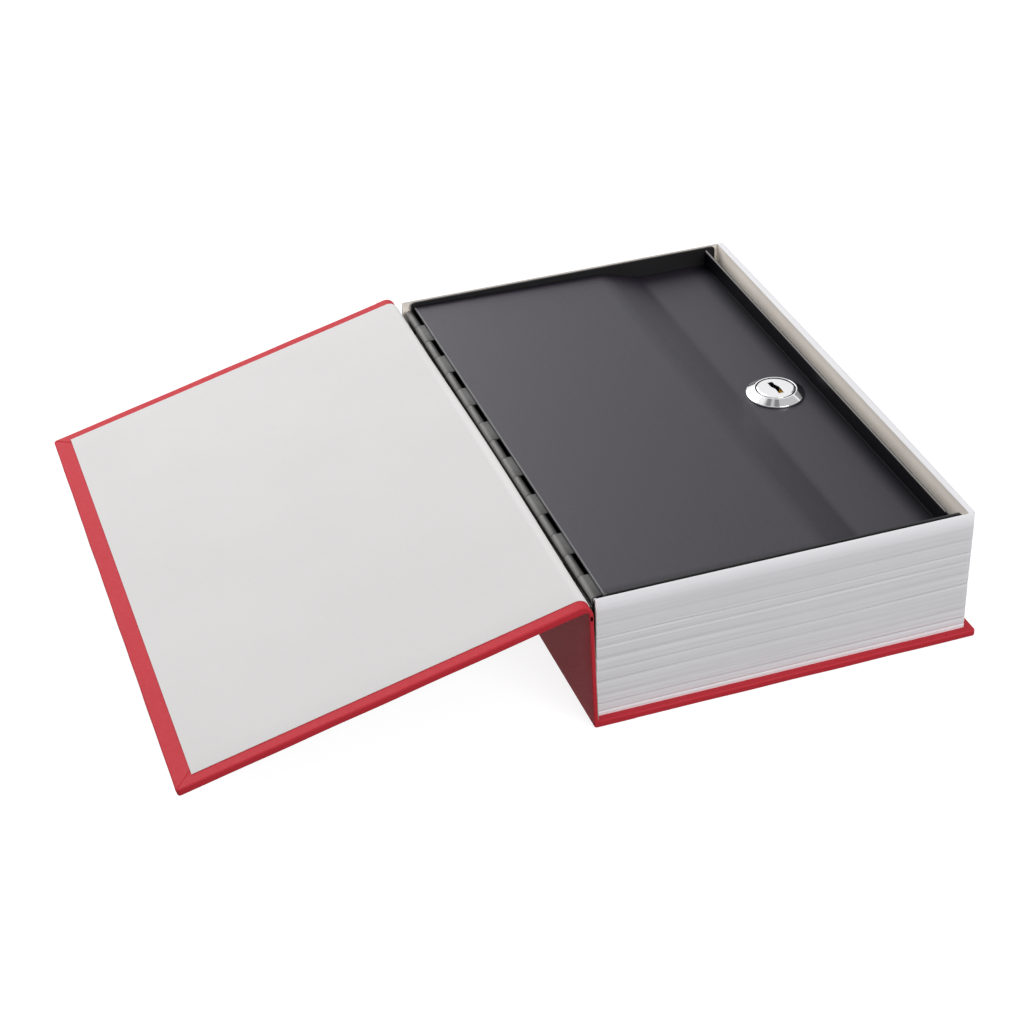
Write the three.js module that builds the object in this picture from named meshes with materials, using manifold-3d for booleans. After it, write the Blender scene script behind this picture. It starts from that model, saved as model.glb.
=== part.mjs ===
// A book diversion safe: a hardcover case whose pages are a hollow moulding round a steel cash
// box with a piano-hinged lid and a wafer cam lock. Millimetres, +Z up. The block lies on its
// back cover, X runs from the spine to the fore-edge, and Y runs along the spine, away from the
// viewer. The front cover is drawn as it stands open and the lid as it lies shut, unlocked.
import * as THREE from 'three';
import { mergeVertices } from 'three/addons/utils/BufferGeometryUtils.js';
import Module from 'manifold-3d';

const wasm = await Module();
wasm.setup();

// Book case
const caseLength = 241.6;
const caseWidth = 155.6;
const coveringThickness = 0.35;
const turnInThickness = 0.3;
const turnInWidth = 14;
const backBoardThickness = 1.95;
const frontBoardThickness = 2.1;
const spineBoardThickness = 1.15;
const spineHeight = 52.2;
const spineLean = THREE.MathUtils.degToRad(2.2);
const endpaperThickness = 0.25;
const endpaperSideMargin = 4.7;
const endpaperForeMargin = 7.1;
const edgeRound = 0.6;
const coverCornerRadius = 1.2;

// Front cover as it stands open, from its hinge-side edge
const coverWidth = 157.3;
const coverSlope = THREE.MathUtils.degToRad(14.27);
const coverEdgeX = -1.85;
const coverEdgeZ = spineHeight + 4.53;
const coverHeel = -3.8;
const elbowRadius = 4;
const jointThickness = 0.45;
const endpaperBendEnd = THREE.MathUtils.degToRad(8);

// Page block
const blockInset = 3.1;
const blockForeInset = 2.6;
const blockTop = spineHeight + 2.9;
const blockEndWall = 1.3;
const blockForeWall = 2.9;
const blockSpineEnd = 1.75;
const blockCornerRadius = 1.5;
const foreEdgeHollow = 0.3;
const pageLayers = 21;
const pageGroove = 0.3;
const pageCrest = [0.35, 0.7];
const pageWander = 0.2;
const pageWanderBeat = 2.4;
const pageTopBand = 2.2;
const pageTopRound = 0.9;

// Steel box
const steel = 0.9;
const boxRimSide = 5.2;
const boxEarEnd = caseWidth - blockForeInset - blockForeWall - 2.1;
const rimRadius = 1.8;
const boxSpineWall = 2.75;
const boxEndGap = 1.1;
const frontWallInside = boxEarEnd - 3.7;
const frontWallTop = blockTop - 3;

// Piano hinge
const pinX = 3.8;
const pinZ = blockTop - 4.75;
const pinRadius = 1.0;
const knuckleRadius = 1.85;
const leafThickness = 0.7;
const knuckleCount = 16;
const hingeStart = 9.3;
const hingeEnd = caseLength - 7.1;
const boxLeafDepth = 9.8;
const lidLeafEnd = 17;
const lidNotch = 3.1;
const pinClearance = 0.15;
const knuckleGap = 0.3;

// Lid
const lidSheet = 0.8;
const lidHingeEdge = 6.5;
const lidHingeTop = pinZ + 2.85;
const rampTopInset = 50.6;
const rampTopZ = blockTop - 3.2;
const rampFootInset = 33.2;
const lowPlaneZ = blockTop - 8.3;
const lidNearEnd = 8.4;
const lidEndGap = 0.5;
const flangeTop = blockTop - 0.9;
const flangeTrim = 1.4;
const flangeBend = 1;
const creaseBend = 5;
const footBend = 2;
const lidFrontGap = 0.4;
const restTabWidth = 12;
const restTabDepth = 5;
const restTabDrop = 10;
const restTabInset = 4;

// Lock
const lockInset = 18.7;
const lockX = frontWallInside - lockInset;
const lockY = caseLength / 2 + 0.4;
const bezelRadius = 12;
const bezelFaceRadius = 8.7;
const bezelHeight = 2.6;
const bezelEdge = 0.35;
const barrelRadius = 9;
const barrelFlat = 8;
const barrelLength = 15.3;
const headRadius = 7.7;
const headClearance = 0.4;
const headDepth = 1.2;
const headDome = 0.25;
const headDomeSteps = 3;
const plugRadius = 6;
const plugClearance = 0.15;
const plugTail = 0.5;
const tailSquare = 7;
const keywayWidth = 2.2;
const keywayLength = 9.4;
const keywayJog = 0.5;
const keywayDepth = 16.5;
const wafers = 5;
const waferThickness = 0.9;
const waferWidth = 6.6;
const waferPitch = 2.6;
const waferTop = 3.6;
const waferThrow = 0.8;
const waferWindow = 4;
const nutAcrossFlats = 24;
const nutThickness = 3;
const washerRadius = 12;
const washerThickness = 0.8;
const camThickness = 1.8;
const camLength = 21.7;
const camWidth = 9;
const camHub = 7.5;
const camGap = 0.3;
const camSlotMargin = 1.3;
const screwHeadRadius = 4;
const screwHeadHeight = 1.8;
const screwHeadChamfer = 0.75;
const screwRadius = 1.9;
const screwReach = 3.4;
const driverSlotWidth = 1;
const driverSlotDepth = 0.8;

// Clearances between pieces that touch or slide
const glueGap = 0.1;
const fit = 0.3;

// Heights and places that follow from the sizes above
const backInside = coveringThickness + glueGap + backBoardThickness + glueGap + turnInThickness;
const spineThickness = coveringThickness + glueGap + spineBoardThickness;
const boardEdge = coveringThickness + glueGap;
const turnInTop = -endpaperThickness - glueGap / 2;
const frontBoardTop = turnInTop - turnInThickness - glueGap;
const frontBoardLow = frontBoardTop - frontBoardThickness;
const coverUnderside = frontBoardLow - glueGap - coveringThickness;
const elbowStart = coverHeel + glueGap;
const elbowMiddle = turnInTop - elbowRadius;
const boxFloor = backInside + fit;
const boxNearOut = blockInset + blockEndWall + boxEndGap;
const boxFarOut = caseLength - boxNearOut;
const boxNearIn = boxNearOut + steel;
const boxFarIn = boxFarOut - steel;
const boxLeft = boxSpineWall;
const boxWallTop = pinZ - knuckleRadius - knuckleGap;
const leafOut = pinX - knuckleRadius;
const lidFarEnd = boxFarIn - lidEndGap;
const flangeOut = frontWallInside - lidFrontGap;
const lidUnder = lowPlaneZ - lidSheet;
const bezelBase = lowPlaneZ + glueGap;
const faceZ = bezelBase + bezelHeight;
const headSeat = faceZ - headDepth;
const barrelBottom = lidUnder - barrelLength;
const plugBottom = barrelBottom - plugTail;
const camTop = plugBottom - glueGap;
const camBottom = camTop - camThickness;
const camSweep = Math.hypot(camLength, camWidth / 2);
const slotHalf = Math.sqrt(camSweep ** 2 - lockInset ** 2) + 2 * fit;

// Solids from shapes
function alongY(shape, low, high, curveSegments = 6) {
  const geometry = new THREE.ExtrudeGeometry(shape, {
    depth: high - low,
    bevelEnabled: false,
    curveSegments,
  });
  geometry.rotateX(Math.PI / 2);
  geometry.translate(0, high, 0);
  return geometry;
}

function alongZ(shape, low, high, curveSegments = 6) {
  const geometry = new THREE.ExtrudeGeometry(shape, {
    depth: high - low,
    bevelEnabled: false,
    curveSegments,
  });
  geometry.translate(0, 0, low);
  return geometry;
}

function slab(x0, x1, y0, y1, z0, z1) {
  const geometry = new THREE.BoxGeometry(x1 - x0, y1 - y0, z1 - z0);
  geometry.translate((x0 + x1) / 2, (y0 + y1) / 2, (z0 + z1) / 2);
  return geometry;
}

function turned(profile, segments) {
  const points = profile.map(([radius, height]) => new THREE.Vector2(radius, height));
  const geometry = new THREE.LatheGeometry(points, segments);
  geometry.rotateX(Math.PI / 2);
  return geometry;
}

function polygon(points) {
  return new THREE.Shape(points.map(([x, y]) => new THREE.Vector2(x, y)));
}

function roundedRectangle(x0, x1, y0, y1, radius) {
  const shape = new THREE.Shape();
  shape.moveTo(x0 + radius, y0);
  shape.lineTo(x1 - radius, y0);
  shape.absarc(x1 - radius, y0 + radius, radius, -Math.PI / 2, 0, false);
  shape.lineTo(x1, y1 - radius);
  shape.absarc(x1 - radius, y1 - radius, radius, 0, Math.PI / 2, false);
  shape.lineTo(x0 + radius, y1);
  shape.absarc(x0 + radius, y1 - radius, radius, Math.PI / 2, Math.PI, false);
  shape.lineTo(x0, y0 + radius);
  shape.absarc(x0 + radius, y0 + radius, radius, Math.PI, Math.PI * 1.5, false);
  return shape;
}

function ring(x, y, outer, inner) {
  const shape = new THREE.Shape();
  shape.absarc(x, y, outer, 0, Math.PI * 2, false);
  const hole = new THREE.Path();
  hole.absarc(x, y, inner, 0, Math.PI * 2, true);
  shape.holes.push(hole);
  return shape;
}

// Joins and cuts
function solid(geometry) {
  const plain = geometry.clone();
  plain.deleteAttribute('normal');
  plain.deleteAttribute('uv');
  const merged = mergeVertices(plain);
  return new wasm.Manifold(
    new wasm.Mesh({
      numProp: 3,
      vertProperties: new Float32Array(merged.attributes.position.array),
      triVerts: new Uint32Array(merged.index.array),
    }),
  );
}

function geometryOf(manifold) {
  const mesh = manifold.getMesh();
  const geometry = new THREE.BufferGeometry();
  geometry.setAttribute('position', new THREE.BufferAttribute(mesh.vertProperties, 3));
  geometry.setIndex(new THREE.BufferAttribute(mesh.triVerts, 1));
  geometry.computeVertexNormals();
  return geometry;
}

function join(first, ...others) {
  return geometryOf(others.reduce((all, next) => all.add(solid(next)), solid(first)));
}

function cut(first, ...tools) {
  return geometryOf(tools.reduce((all, tool) => all.subtract(solid(tool)), solid(first)));
}

function common(first, second) {
  return geometryOf(solid(first).intersect(solid(second)));
}

// A bent sheet's outline: a path with rounded bends, and the same path one thickness below it
function bentPath(points, radii, steps) {
  const path = [points[0]];
  for (let i = 1; i < points.length - 1; i += 1) {
    const here = new THREE.Vector2(...points[i]);
    const before = new THREE.Vector2(...points[i - 1]).sub(here).normalize();
    const after = new THREE.Vector2(...points[i + 1]).sub(here).normalize();
    const reach = radii[i - 1];
    const start = here.clone().addScaledVector(before, reach);
    const end = here.clone().addScaledVector(after, reach);
    const curve = new THREE.QuadraticBezierCurve(start, here, end);
    curve.getPoints(steps).forEach((point) => path.push([point.x, point.y]));
  }
  path.push(points[points.length - 1]);
  return path;
}

function bentSheet(path, thickness) {
  const under = path.map(([x, y], i) => {
    const [x0, y0] = path[Math.max(i - 1, 0)];
    const [x1, y1] = path[Math.min(i + 1, path.length - 1)];
    const along = new THREE.Vector2(x1 - x0, y1 - y0).normalize();
    return [x + along.y * thickness, y - along.x * thickness];
  });
  return polygon([...path, ...under.reverse()]);
}

// Finishes
function finish(color, roughness, metalness) {
  return new THREE.MeshStandardMaterial({ color, roughness, metalness });
}

const redCloth = finish('#c0293c', 0.62, 0);
const redJoint = finish('#8f1c2b', 0.68, 0);
const greyboard = finish('#a39a8c', 0.9, 0);
const lightPaper = finish('#e2e1df', 0.75, 0);
const pageWhite = finish('#dddcdf', 0.5, 0);
const powderBlack = finish('#3a393d', 0.55, 0.3);
const lidGrey = finish('#4f4d53', 0.5, 0.3);
const darkSteel = finish('#5b5a5f', 0.45, 0.6);
const chromePlate = finish('#d9dadc', 0.12, 1);
const zincPlate = finish('#b9bbc0', 0.35, 0.9);
const brassSheet = finish('#b59a55', 0.35, 0.9);

const safe = new THREE.Group();
safe.position.set(-caseWidth / 2, -caseLength / 2, 0);

const frontCover = new THREE.Group();
frontCover.position.set(coverEdgeX, 0, coverEdgeZ);
frontCover.rotation.y = -coverSlope;
safe.add(frontCover);

function place(name, geometry, material, parent = safe) {
  const mesh = new THREE.Mesh(geometry, material);
  mesh.name = name;
  parent.add(mesh);
}

// Spine: a leaning upright whose outer foot is the case's bottom corner
function spineOutline(inset, foot, top, thickness) {
  const lean = ([out, up]) => [
    out * Math.cos(spineLean) - up * Math.sin(spineLean),
    out * Math.sin(spineLean) + up * Math.cos(spineLean),
  ];
  return polygon(
    [
      [inset, foot],
      [inset + thickness, foot],
      [inset + thickness, top],
      [inset, top],
    ].map(lean),
  );
}

function backPlan(inset, spineInset) {
  return roundedRectangle(
    spineInset,
    caseWidth - inset,
    inset,
    caseLength - inset,
    coverCornerRadius - inset,
  );
}

function coveredSlab(plan, low, high) {
  const geometry = new THREE.ExtrudeGeometry(plan, {
    depth: high - low - 2 * edgeRound,
    bevelThickness: edgeRound,
    bevelSize: edgeRound,
    bevelOffset: -edgeRound,
    bevelSegments: 2,
    curveSegments: 4,
  });
  geometry.translate(0, 0, low + edgeRound);
  return geometry;
}

function backBoard() {
  const low = coveringThickness + glueGap;
  const plan = backPlan(boardEdge, spineThickness + boardEdge);
  return alongZ(plan, low, low + backBoardThickness, 4);
}

function spineBoard() {
  const outline = spineOutline(
    boardEdge,
    backInside + boardEdge,
    spineHeight - boardEdge,
    spineBoardThickness,
  );
  return alongY(outline, boardEdge, caseLength - boardEdge);
}

function caseCovering() {
  const back = coveredSlab(backPlan(0, 0), 0, backInside);
  const upright = spineOutline(0, backInside / 2, spineHeight, spineThickness);
  const spine = alongY(upright, 0, caseLength);
  const low = coveringThickness;
  const boardPlan = backPlan(coveringThickness, spineThickness + coveringThickness);
  const backPocket = alongZ(boardPlan, low, backInside - turnInThickness, 4);
  const backWindow = slab(
    spineThickness + coveringThickness,
    caseWidth - turnInWidth,
    turnInWidth,
    caseLength - turnInWidth,
    low,
    backInside + fit,
  );
  const pocketOutline = spineOutline(
    coveringThickness,
    backInside + coveringThickness,
    spineHeight - coveringThickness,
    spineThickness,
  );
  const spinePocket = alongY(pocketOutline, coveringThickness, caseLength - coveringThickness);
  return cut(join(back, spine), backPocket, backWindow, spinePocket);
}

// Front cover, in its own frame: -X away from the hinge, +Z out of the endpaper
function frontPlan(inset, heel) {
  const radius = coverCornerRadius - inset;
  return roundedRectangle(-coverWidth + inset, heel, inset, caseLength - inset, radius);
}

function frontBoard() {
  return alongZ(frontPlan(boardEdge, coverHeel - boardEdge), frontBoardLow, frontBoardTop, 4);
}

function frontCovering() {
  const outside = coveredSlab(frontPlan(0, coverHeel), coverUnderside, turnInTop);
  const pocket = alongZ(
    frontPlan(coveringThickness, coverHeel - coveringThickness),
    frontBoardLow - glueGap,
    frontBoardTop + glueGap,
    4,
  );
  const window = slab(
    -coverWidth + turnInWidth,
    coverHeel - turnInWidth / 2,
    turnInWidth,
    caseLength - turnInWidth,
    frontBoardTop,
    fit,
  );
  return cut(outside, pocket, window);
}

// Endpaper and cloth turn over the same elbow, a round from the cover's inside face to the spine
function frontEndpaper() {
  const start = -coverWidth + endpaperForeMargin;
  const outer = -elbowMiddle;
  const inner = outer - endpaperThickness;
  const shape = new THREE.Shape();
  shape.moveTo(start, -endpaperThickness);
  shape.lineTo(elbowStart, -endpaperThickness);
  shape.absarc(elbowStart, elbowMiddle, inner, Math.PI / 2, endpaperBendEnd, true);
  shape.absarc(elbowStart, elbowMiddle, outer, endpaperBendEnd, Math.PI / 2, false);
  shape.lineTo(start, 0);
  return alongY(shape, endpaperSideMargin, caseLength - endpaperSideMargin, 8);
}

function frontJoint() {
  const shape = new THREE.Shape();
  shape.absarc(elbowStart, elbowMiddle, elbowRadius, 0, Math.PI / 2, false);
  shape.absarc(elbowStart, elbowMiddle, elbowRadius - jointThickness, Math.PI / 2, 0, true);
  return alongY(shape, 0, caseLength, 8);
}

// Page block: three walls whose outer faces are layered like pages
function blockLevels() {
  const levels = [];
  const height = (blockTop - backInside - pageTopBand) / pageLayers;
  for (let page = 0; page < pageLayers; page += 1) {
    const wander = pageWander * height * Math.sin(page * pageWanderBeat);
    const foot = backInside + page * height;
    levels.push([foot, page === 0 ? 0 : pageGroove]);
    levels.push([foot + pageCrest[0] * height + wander, 0]);
    levels.push([foot + pageCrest[1] * height + wander / 2, 0]);
  }
  levels.push([blockTop - pageTopBand, pageGroove]);
  levels.push([blockTop - pageTopBand + pageTopRound, 0]);
  levels.push([blockTop, 0]);
  return levels;
}

function blockOutline(z, inset) {
  const middle = (backInside + blockTop) / 2;
  const swing = (z - middle) / (blockTop - middle);
  const hollow = foreEdgeHollow * (1 - swing ** 2);
  return roundedRectangle(
    0,
    caseWidth - blockForeInset - inset - hollow,
    blockInset + inset,
    caseLength - blockInset - inset,
    blockCornerRadius,
  ).getPoints(3);
}

function loft(rings) {
  const count = rings[0].points.length;
  const positions = rings.flatMap(({ points, z }) => points.flatMap(({ x, y }) => [x, y, z]));
  const index = [];
  for (let level = 0; level < rings.length - 1; level += 1) {
    for (let i = 0; i < count; i += 1) {
      const a = level * count + i;
      const b = level * count + ((i + 1) % count);
      index.push(a, b, b + count, a, b + count, a + count);
    }
  }
  const cap = THREE.ShapeUtils.triangulateShape(rings[0].points, []);
  const last = (rings.length - 1) * count;
  cap.forEach(([a, b, c]) => {
    index.push(a, c, b);
    index.push(last + a, last + b, last + c);
  });
  const geometry = new THREE.BufferGeometry();
  geometry.setAttribute('position', new THREE.Float32BufferAttribute(positions, 3));
  geometry.setIndex(index);
  return geometry;
}

function pageBlock() {
  const rings = blockLevels().map(([z, inset]) => {
    const points = blockOutline(z, inset);
    if (points[0].equals(points[points.length - 1])) {
      points.pop();
    }
    return { points, z };
  });
  const inside = slab(
    -fit,
    caseWidth - blockForeInset - blockForeWall,
    blockInset + blockEndWall,
    caseLength - blockInset - blockEndWall,
    0,
    blockTop + fit,
  );
  const spineSide = slab(-fit, blockSpineEnd, 0, caseLength, 0, blockTop + fit);
  return cut(loft(rings), inside, spineSide);
}

// Steel box: one folded tray whose end walls stand above the lid as rims
function endWallOutline() {
  const shape = new THREE.Shape();
  shape.moveTo(boxLeft, boxFloor);
  shape.lineTo(boxEarEnd, boxFloor);
  shape.lineTo(boxEarEnd, blockTop - rimRadius);
  shape.absarc(boxEarEnd - rimRadius, blockTop - rimRadius, rimRadius, 0, Math.PI / 2, false);
  shape.lineTo(boxRimSide + rimRadius, blockTop);
  shape.absarc(boxRimSide + rimRadius, blockTop - rimRadius, rimRadius, Math.PI / 2, Math.PI, false);
  shape.lineTo(boxRimSide, boxWallTop);
  shape.lineTo(boxLeft, boxWallTop);
  return shape;
}

function boxTray() {
  const floor = slab(
    boxLeft,
    frontWallInside + steel,
    boxNearOut,
    boxFarOut,
    boxFloor,
    boxFloor + steel,
  );
  const near = alongY(endWallOutline(), boxNearOut, boxNearIn);
  const far = alongY(endWallOutline(), boxFarIn, boxFarOut);
  const spineSide = slab(boxLeft, boxLeft + steel, boxNearOut, boxFarOut, boxFloor, boxWallTop);
  const front = slab(
    frontWallInside,
    frontWallInside + steel,
    boxNearOut,
    boxFarOut,
    boxFloor,
    frontWallTop,
  );
  const camSlot = slab(
    frontWallInside - fit,
    frontWallInside + steel + fit,
    lockY - slotHalf,
    lockY + slotHalf,
    camBottom - camSlotMargin,
    camTop + camSlotMargin,
  );
  return cut(join(floor, near, far, spineSide, front), camSlot);
}

function restTab(wall, inward) {
  const ledgeTop = lidUnder - fit;
  const reach = wall + inward * restTabDepth;
  const lip = wall + inward * steel;
  const x1 = frontWallInside - restTabInset;
  const x0 = x1 - restTabWidth;
  const low = ledgeTop - restTabDrop;
  const leg = slab(x0, x1, Math.min(wall, lip), Math.max(wall, lip), low, ledgeTop);
  const ledge = slab(
    x0,
    x1,
    Math.min(wall, reach),
    Math.max(wall, reach),
    ledgeTop - steel,
    ledgeTop,
  );
  return join(leg, ledge);
}

// Piano hinge: two leaves whose knuckles take turns along one pin
const knucklePitch = (hingeEnd - hingeStart) / knuckleCount;

function knuckleSpan(i) {
  const start = hingeEnd - (i + 1) * knucklePitch;
  return [start + knuckleGap / 2, start + knucklePitch - knuckleGap / 2];
}

function hingeLeaf(firstKnuckle, plate, tabOutline) {
  const parts = [plate];
  const tube = ring(pinX, pinZ, knuckleRadius, pinRadius + pinClearance);
  for (let i = firstKnuckle; i < knuckleCount; i += 2) {
    const [low, high] = knuckleSpan(i);
    parts.push(alongY(tabOutline, low, high));
    parts.push(alongY(tube, low, high, 10));
  }
  const bore = new THREE.CylinderGeometry(
    pinRadius + pinClearance,
    pinRadius + pinClearance,
    hingeEnd - hingeStart + 2 * fit,
    20,
  );
  bore.translate(pinX, (hingeStart + hingeEnd) / 2, pinZ);
  return cut(join(...parts), bore);
}

function boxHingeLeaf() {
  const low = pinZ - boxLeafDepth;
  const plate = slab(leafOut, leafOut + leafThickness, hingeStart, hingeEnd, low, boxWallTop);
  const tab = polygon([
    [leafOut, low],
    [leafOut + leafThickness, low],
    [leafOut + leafThickness, pinZ],
    [leafOut, pinZ],
  ]);
  return hingeLeaf(0, plate, tab);
}

function lidHingeLeaf() {
  const top = pinZ + knuckleRadius;
  const low = top - leafThickness;
  const plate = slab(pinX + lidNotch, lidLeafEnd, hingeStart, hingeEnd, low, top);
  const tab = polygon([
    [pinX, low],
    [lidLeafEnd, low],
    [lidLeafEnd, top],
    [pinX, top],
  ]);
  return hingeLeaf(1, plate, tab);
}

function hingePin() {
  const geometry = new THREE.CylinderGeometry(pinRadius, pinRadius, hingeEnd - hingeStart, 16);
  geometry.translate(pinX, (hingeStart + hingeEnd) / 2, pinZ);
  return geometry;
}

// Lid: one bent sheet with a high plane, a ramp, a low plane for the lock and a front flange
function lidPanel() {
  const path = bentPath(
    [
      [lidHingeEdge, lidHingeTop],
      [frontWallInside - rampTopInset, rampTopZ],
      [frontWallInside - rampFootInset, lowPlaneZ],
      [flangeOut - lidSheet, lowPlaneZ],
      [flangeOut - lidSheet, flangeTop],
    ],
    [creaseBend, footBend, flangeBend],
    4,
  );
  const sheet = alongY(bentSheet(path, lidSheet), lidNearEnd, lidFarEnd);
  const nearTrim = slab(
    flangeOut - lidSheet - flangeBend,
    flangeOut + fit,
    lidNearEnd - fit,
    lidNearEnd + flangeTrim,
    lowPlaneZ + flangeBend,
    flangeTop + fit,
  );
  const hole = alongZ(barrelOutline(fit), lidUnder - fit, lowPlaneZ + fit, 12);
  return cut(sheet, nearTrim, hole);
}

// Lock
function barrelOutline(clearance) {
  const radius = barrelRadius + clearance;
  const flat = barrelFlat + clearance;
  const angle = Math.acos(flat / radius);
  const shape = new THREE.Shape();
  shape.absarc(lockX, lockY, radius, angle, Math.PI - angle, false);
  shape.absarc(lockX, lockY, radius, Math.PI + angle, -angle, false);
  return shape;
}

function atLock(geometry) {
  geometry.translate(lockX, lockY, 0);
  return geometry;
}

function lockHousing() {
  const bore = plugRadius + plugClearance;
  const mouth = headRadius + headClearance;
  const body = turned(
    [
      [bore, barrelBottom],
      [barrelRadius, barrelBottom],
      [barrelRadius, bezelBase],
      [bezelRadius, bezelBase],
      [bezelRadius, bezelBase + bezelEdge],
      [bezelFaceRadius, faceZ],
      [mouth, faceZ],
      [mouth, headSeat - plugClearance],
      [bore, headSeat - plugClearance],
      [bore, barrelBottom],
    ],
    48,
  );
  const flats = [1, -1].map((side) => {
    const flat = slab(
      barrelFlat,
      2 * barrelRadius,
      -barrelRadius,
      barrelRadius,
      barrelBottom - fit,
      bezelBase,
    );
    return side > 0 ? flat : flat.rotateZ(Math.PI);
  });
  const grooveHalf = waferWidth / 2 + fit;
  const grooveReach = plugRadius + waferThrow + fit;
  const grooves = [0, Math.PI / 2].map((turn) =>
    slab(
      -grooveHalf,
      grooveHalf,
      -grooveReach,
      grooveReach,
      waferLevel(wafers - 1) - waferThickness,
      waferLevel(0) + waferThickness,
    ).rotateZ(turn),
  );
  return atLock(cut(body, ...flats, ...grooves));
}

function waferLevel(i) {
  return headSeat - waferTop - i * waferPitch;
}

function keyway(low, high) {
  const half = keywayWidth / 2;
  const end = keywayLength / 2;
  const outline = polygon([
    [-half - keywayJog, end],
    [-half - keywayJog, end / 4],
    [-half, 0],
    [-half + keywayJog, -end / 4],
    [-half + keywayJog, -end],
    [half + keywayJog, -end],
    [half + keywayJog, 0],
    [half, end / 4],
    [half - keywayJog, end / 2],
    [half - keywayJog, end],
  ]);
  return alongZ(outline, low, high);
}

function headDomeProfile() {
  const points = [];
  for (let step = headDomeSteps; step >= 0; step -= 1) {
    const out = step / headDomeSteps;
    points.push([out * headRadius, faceZ + headDome * (1 - out ** 2)]);
  }
  return points;
}

function lockPlug() {
  const half = tailSquare / 2;
  const body = turned(
    [
      [0, plugBottom],
      [plugRadius, plugBottom],
      [plugRadius, headSeat],
      [headRadius, headSeat],
      ...headDomeProfile(),
    ],
    48,
  );
  const tail = slab(-half, half, -half, half, camBottom + glueGap, plugBottom);
  const screwHole = new THREE.CylinderGeometry(
    screwRadius + fit,
    screwRadius + fit,
    2 * screwReach,
    16,
  );
  screwHole.rotateX(Math.PI / 2);
  screwHole.translate(0, 0, camBottom);
  const slots = [];
  for (let i = 0; i < wafers; i += 1) {
    slots.push(
      slab(
        -waferWidth / 2 - plugClearance,
        waferWidth / 2 + plugClearance,
        -plugRadius - fit,
        plugRadius + fit,
        waferLevel(i) - waferThickness / 2 - plugClearance,
        waferLevel(i) + waferThickness / 2 + plugClearance,
      ),
    );
  }
  const key = keyway(faceZ - keywayDepth, faceZ + 2 * headDome);
  return atLock(cut(join(body, tail), screwHole, key, ...slots));
}

function wafer(i) {
  const level = waferLevel(i);
  const low = level - waferThickness / 2;
  const high = level + waferThickness / 2;
  const round = turned(
    [
      [0, low],
      [plugRadius - glueGap, low],
      [plugRadius - glueGap, high],
      [0, high],
    ],
    40,
  );
  const blank = slab(-waferWidth / 2, waferWidth / 2, -plugRadius, plugRadius, low, high);
  const windowHalf = keywayLength / 2 + glueGap;
  const window = slab(
    -waferWindow / 2,
    waferWindow / 2,
    -windowHalf,
    windowHalf,
    level - waferThickness,
    level + waferThickness,
  );
  return atLock(cut(common(round, blank), window));
}

function lockWasher() {
  const top = lidUnder - fit;
  const shape = ring(lockX, lockY, washerRadius, barrelRadius + fit);
  return alongZ(shape, top - washerThickness, top, 12);
}

function lockNut() {
  const top = lidUnder - fit - washerThickness - glueGap;
  const corner = nutAcrossFlats / Math.sqrt(3);
  const points = [0, 1, 2, 3, 4, 5].map((i) => {
    const angle = (i * Math.PI) / 3;
    return [lockX + corner * Math.cos(angle), lockY + corner * Math.sin(angle)];
  });
  const shape = polygon(points);
  const hole = new THREE.Path();
  hole.absarc(lockX, lockY, barrelRadius + fit, 0, Math.PI * 2, true);
  shape.holes.push(hole);
  return alongZ(shape, top - nutThickness, top, 12);
}

function cam() {
  const shape = new THREE.Shape();
  const half = camWidth / 2;
  const neck = Math.asin(half / camHub);
  shape.absarc(0, 0, camHub, neck - Math.PI / 2, 1.5 * Math.PI - neck, false);
  shape.lineTo(-half, -camLength + half / 2);
  shape.quadraticCurveTo(-half, -camLength, -half / 2, -camLength);
  shape.lineTo(half / 2, -camLength);
  shape.quadraticCurveTo(half, -camLength, half, -camLength + half / 2);
  const hole = new THREE.Path();
  const square = tailSquare / 2 + plugClearance;
  hole.moveTo(-square, -square);
  hole.lineTo(-square, square);
  hole.lineTo(square, square);
  hole.lineTo(square, -square);
  shape.holes.push(hole);
  return atLock(alongZ(shape, camBottom, camTop, 8));
}

function camScrew() {
  const headTop = camBottom - camGap;
  const headLow = headTop - screwHeadHeight;
  const tip = camBottom + screwReach - fit;
  const body = turned(
    [
      [0, headLow],
      [screwHeadRadius - screwHeadChamfer, headLow],
      [screwHeadRadius, headLow + screwHeadChamfer],
      [screwHeadRadius, headTop],
      [screwRadius, headTop],
      [screwRadius, tip],
      [0, tip],
    ],
    24,
  );
  const driverSlot = slab(
    -screwHeadRadius - fit,
    screwHeadRadius + fit,
    -driverSlotWidth / 2,
    driverSlotWidth / 2,
    headLow - fit,
    headLow + driverSlotDepth,
  );
  return atLock(cut(body, driverSlot));
}

place('back_board', backBoard(), greyboard);
place('spine_board', spineBoard(), greyboard);
place('case_covering', caseCovering(), redCloth);
place('front_board', frontBoard(), greyboard, frontCover);
place('front_covering', frontCovering(), redCloth, frontCover);
place('front_endpaper', frontEndpaper(), lightPaper, frontCover);
place('front_joint', frontJoint(), redJoint, frontCover);
place('page_block', pageBlock(), pageWhite);
place('box_tray', boxTray(), powderBlack);
place('rest_tab_near', restTab(boxNearIn, 1), powderBlack);
place('rest_tab_far', restTab(boxFarIn, -1), powderBlack);
place('box_hinge_leaf', boxHingeLeaf(), darkSteel);
place('lid_hinge_leaf', lidHingeLeaf(), darkSteel);
place('hinge_pin', hingePin(), zincPlate);
place('lid_panel', lidPanel(), lidGrey);
place('lock_housing', lockHousing(), chromePlate);
place('lock_washer', lockWasher(), zincPlate);
place('lock_nut', lockNut(), zincPlate);
place('lock_plug', lockPlug(), chromePlate);
for (let i = 0; i < wafers; i += 1) {
  place(`wafer_${i + 1}`, wafer(i), brassSheet);
}
place('cam', cam(), zincPlate);
place('cam_screw', camScrew(), zincPlate);

export default safe;
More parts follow.
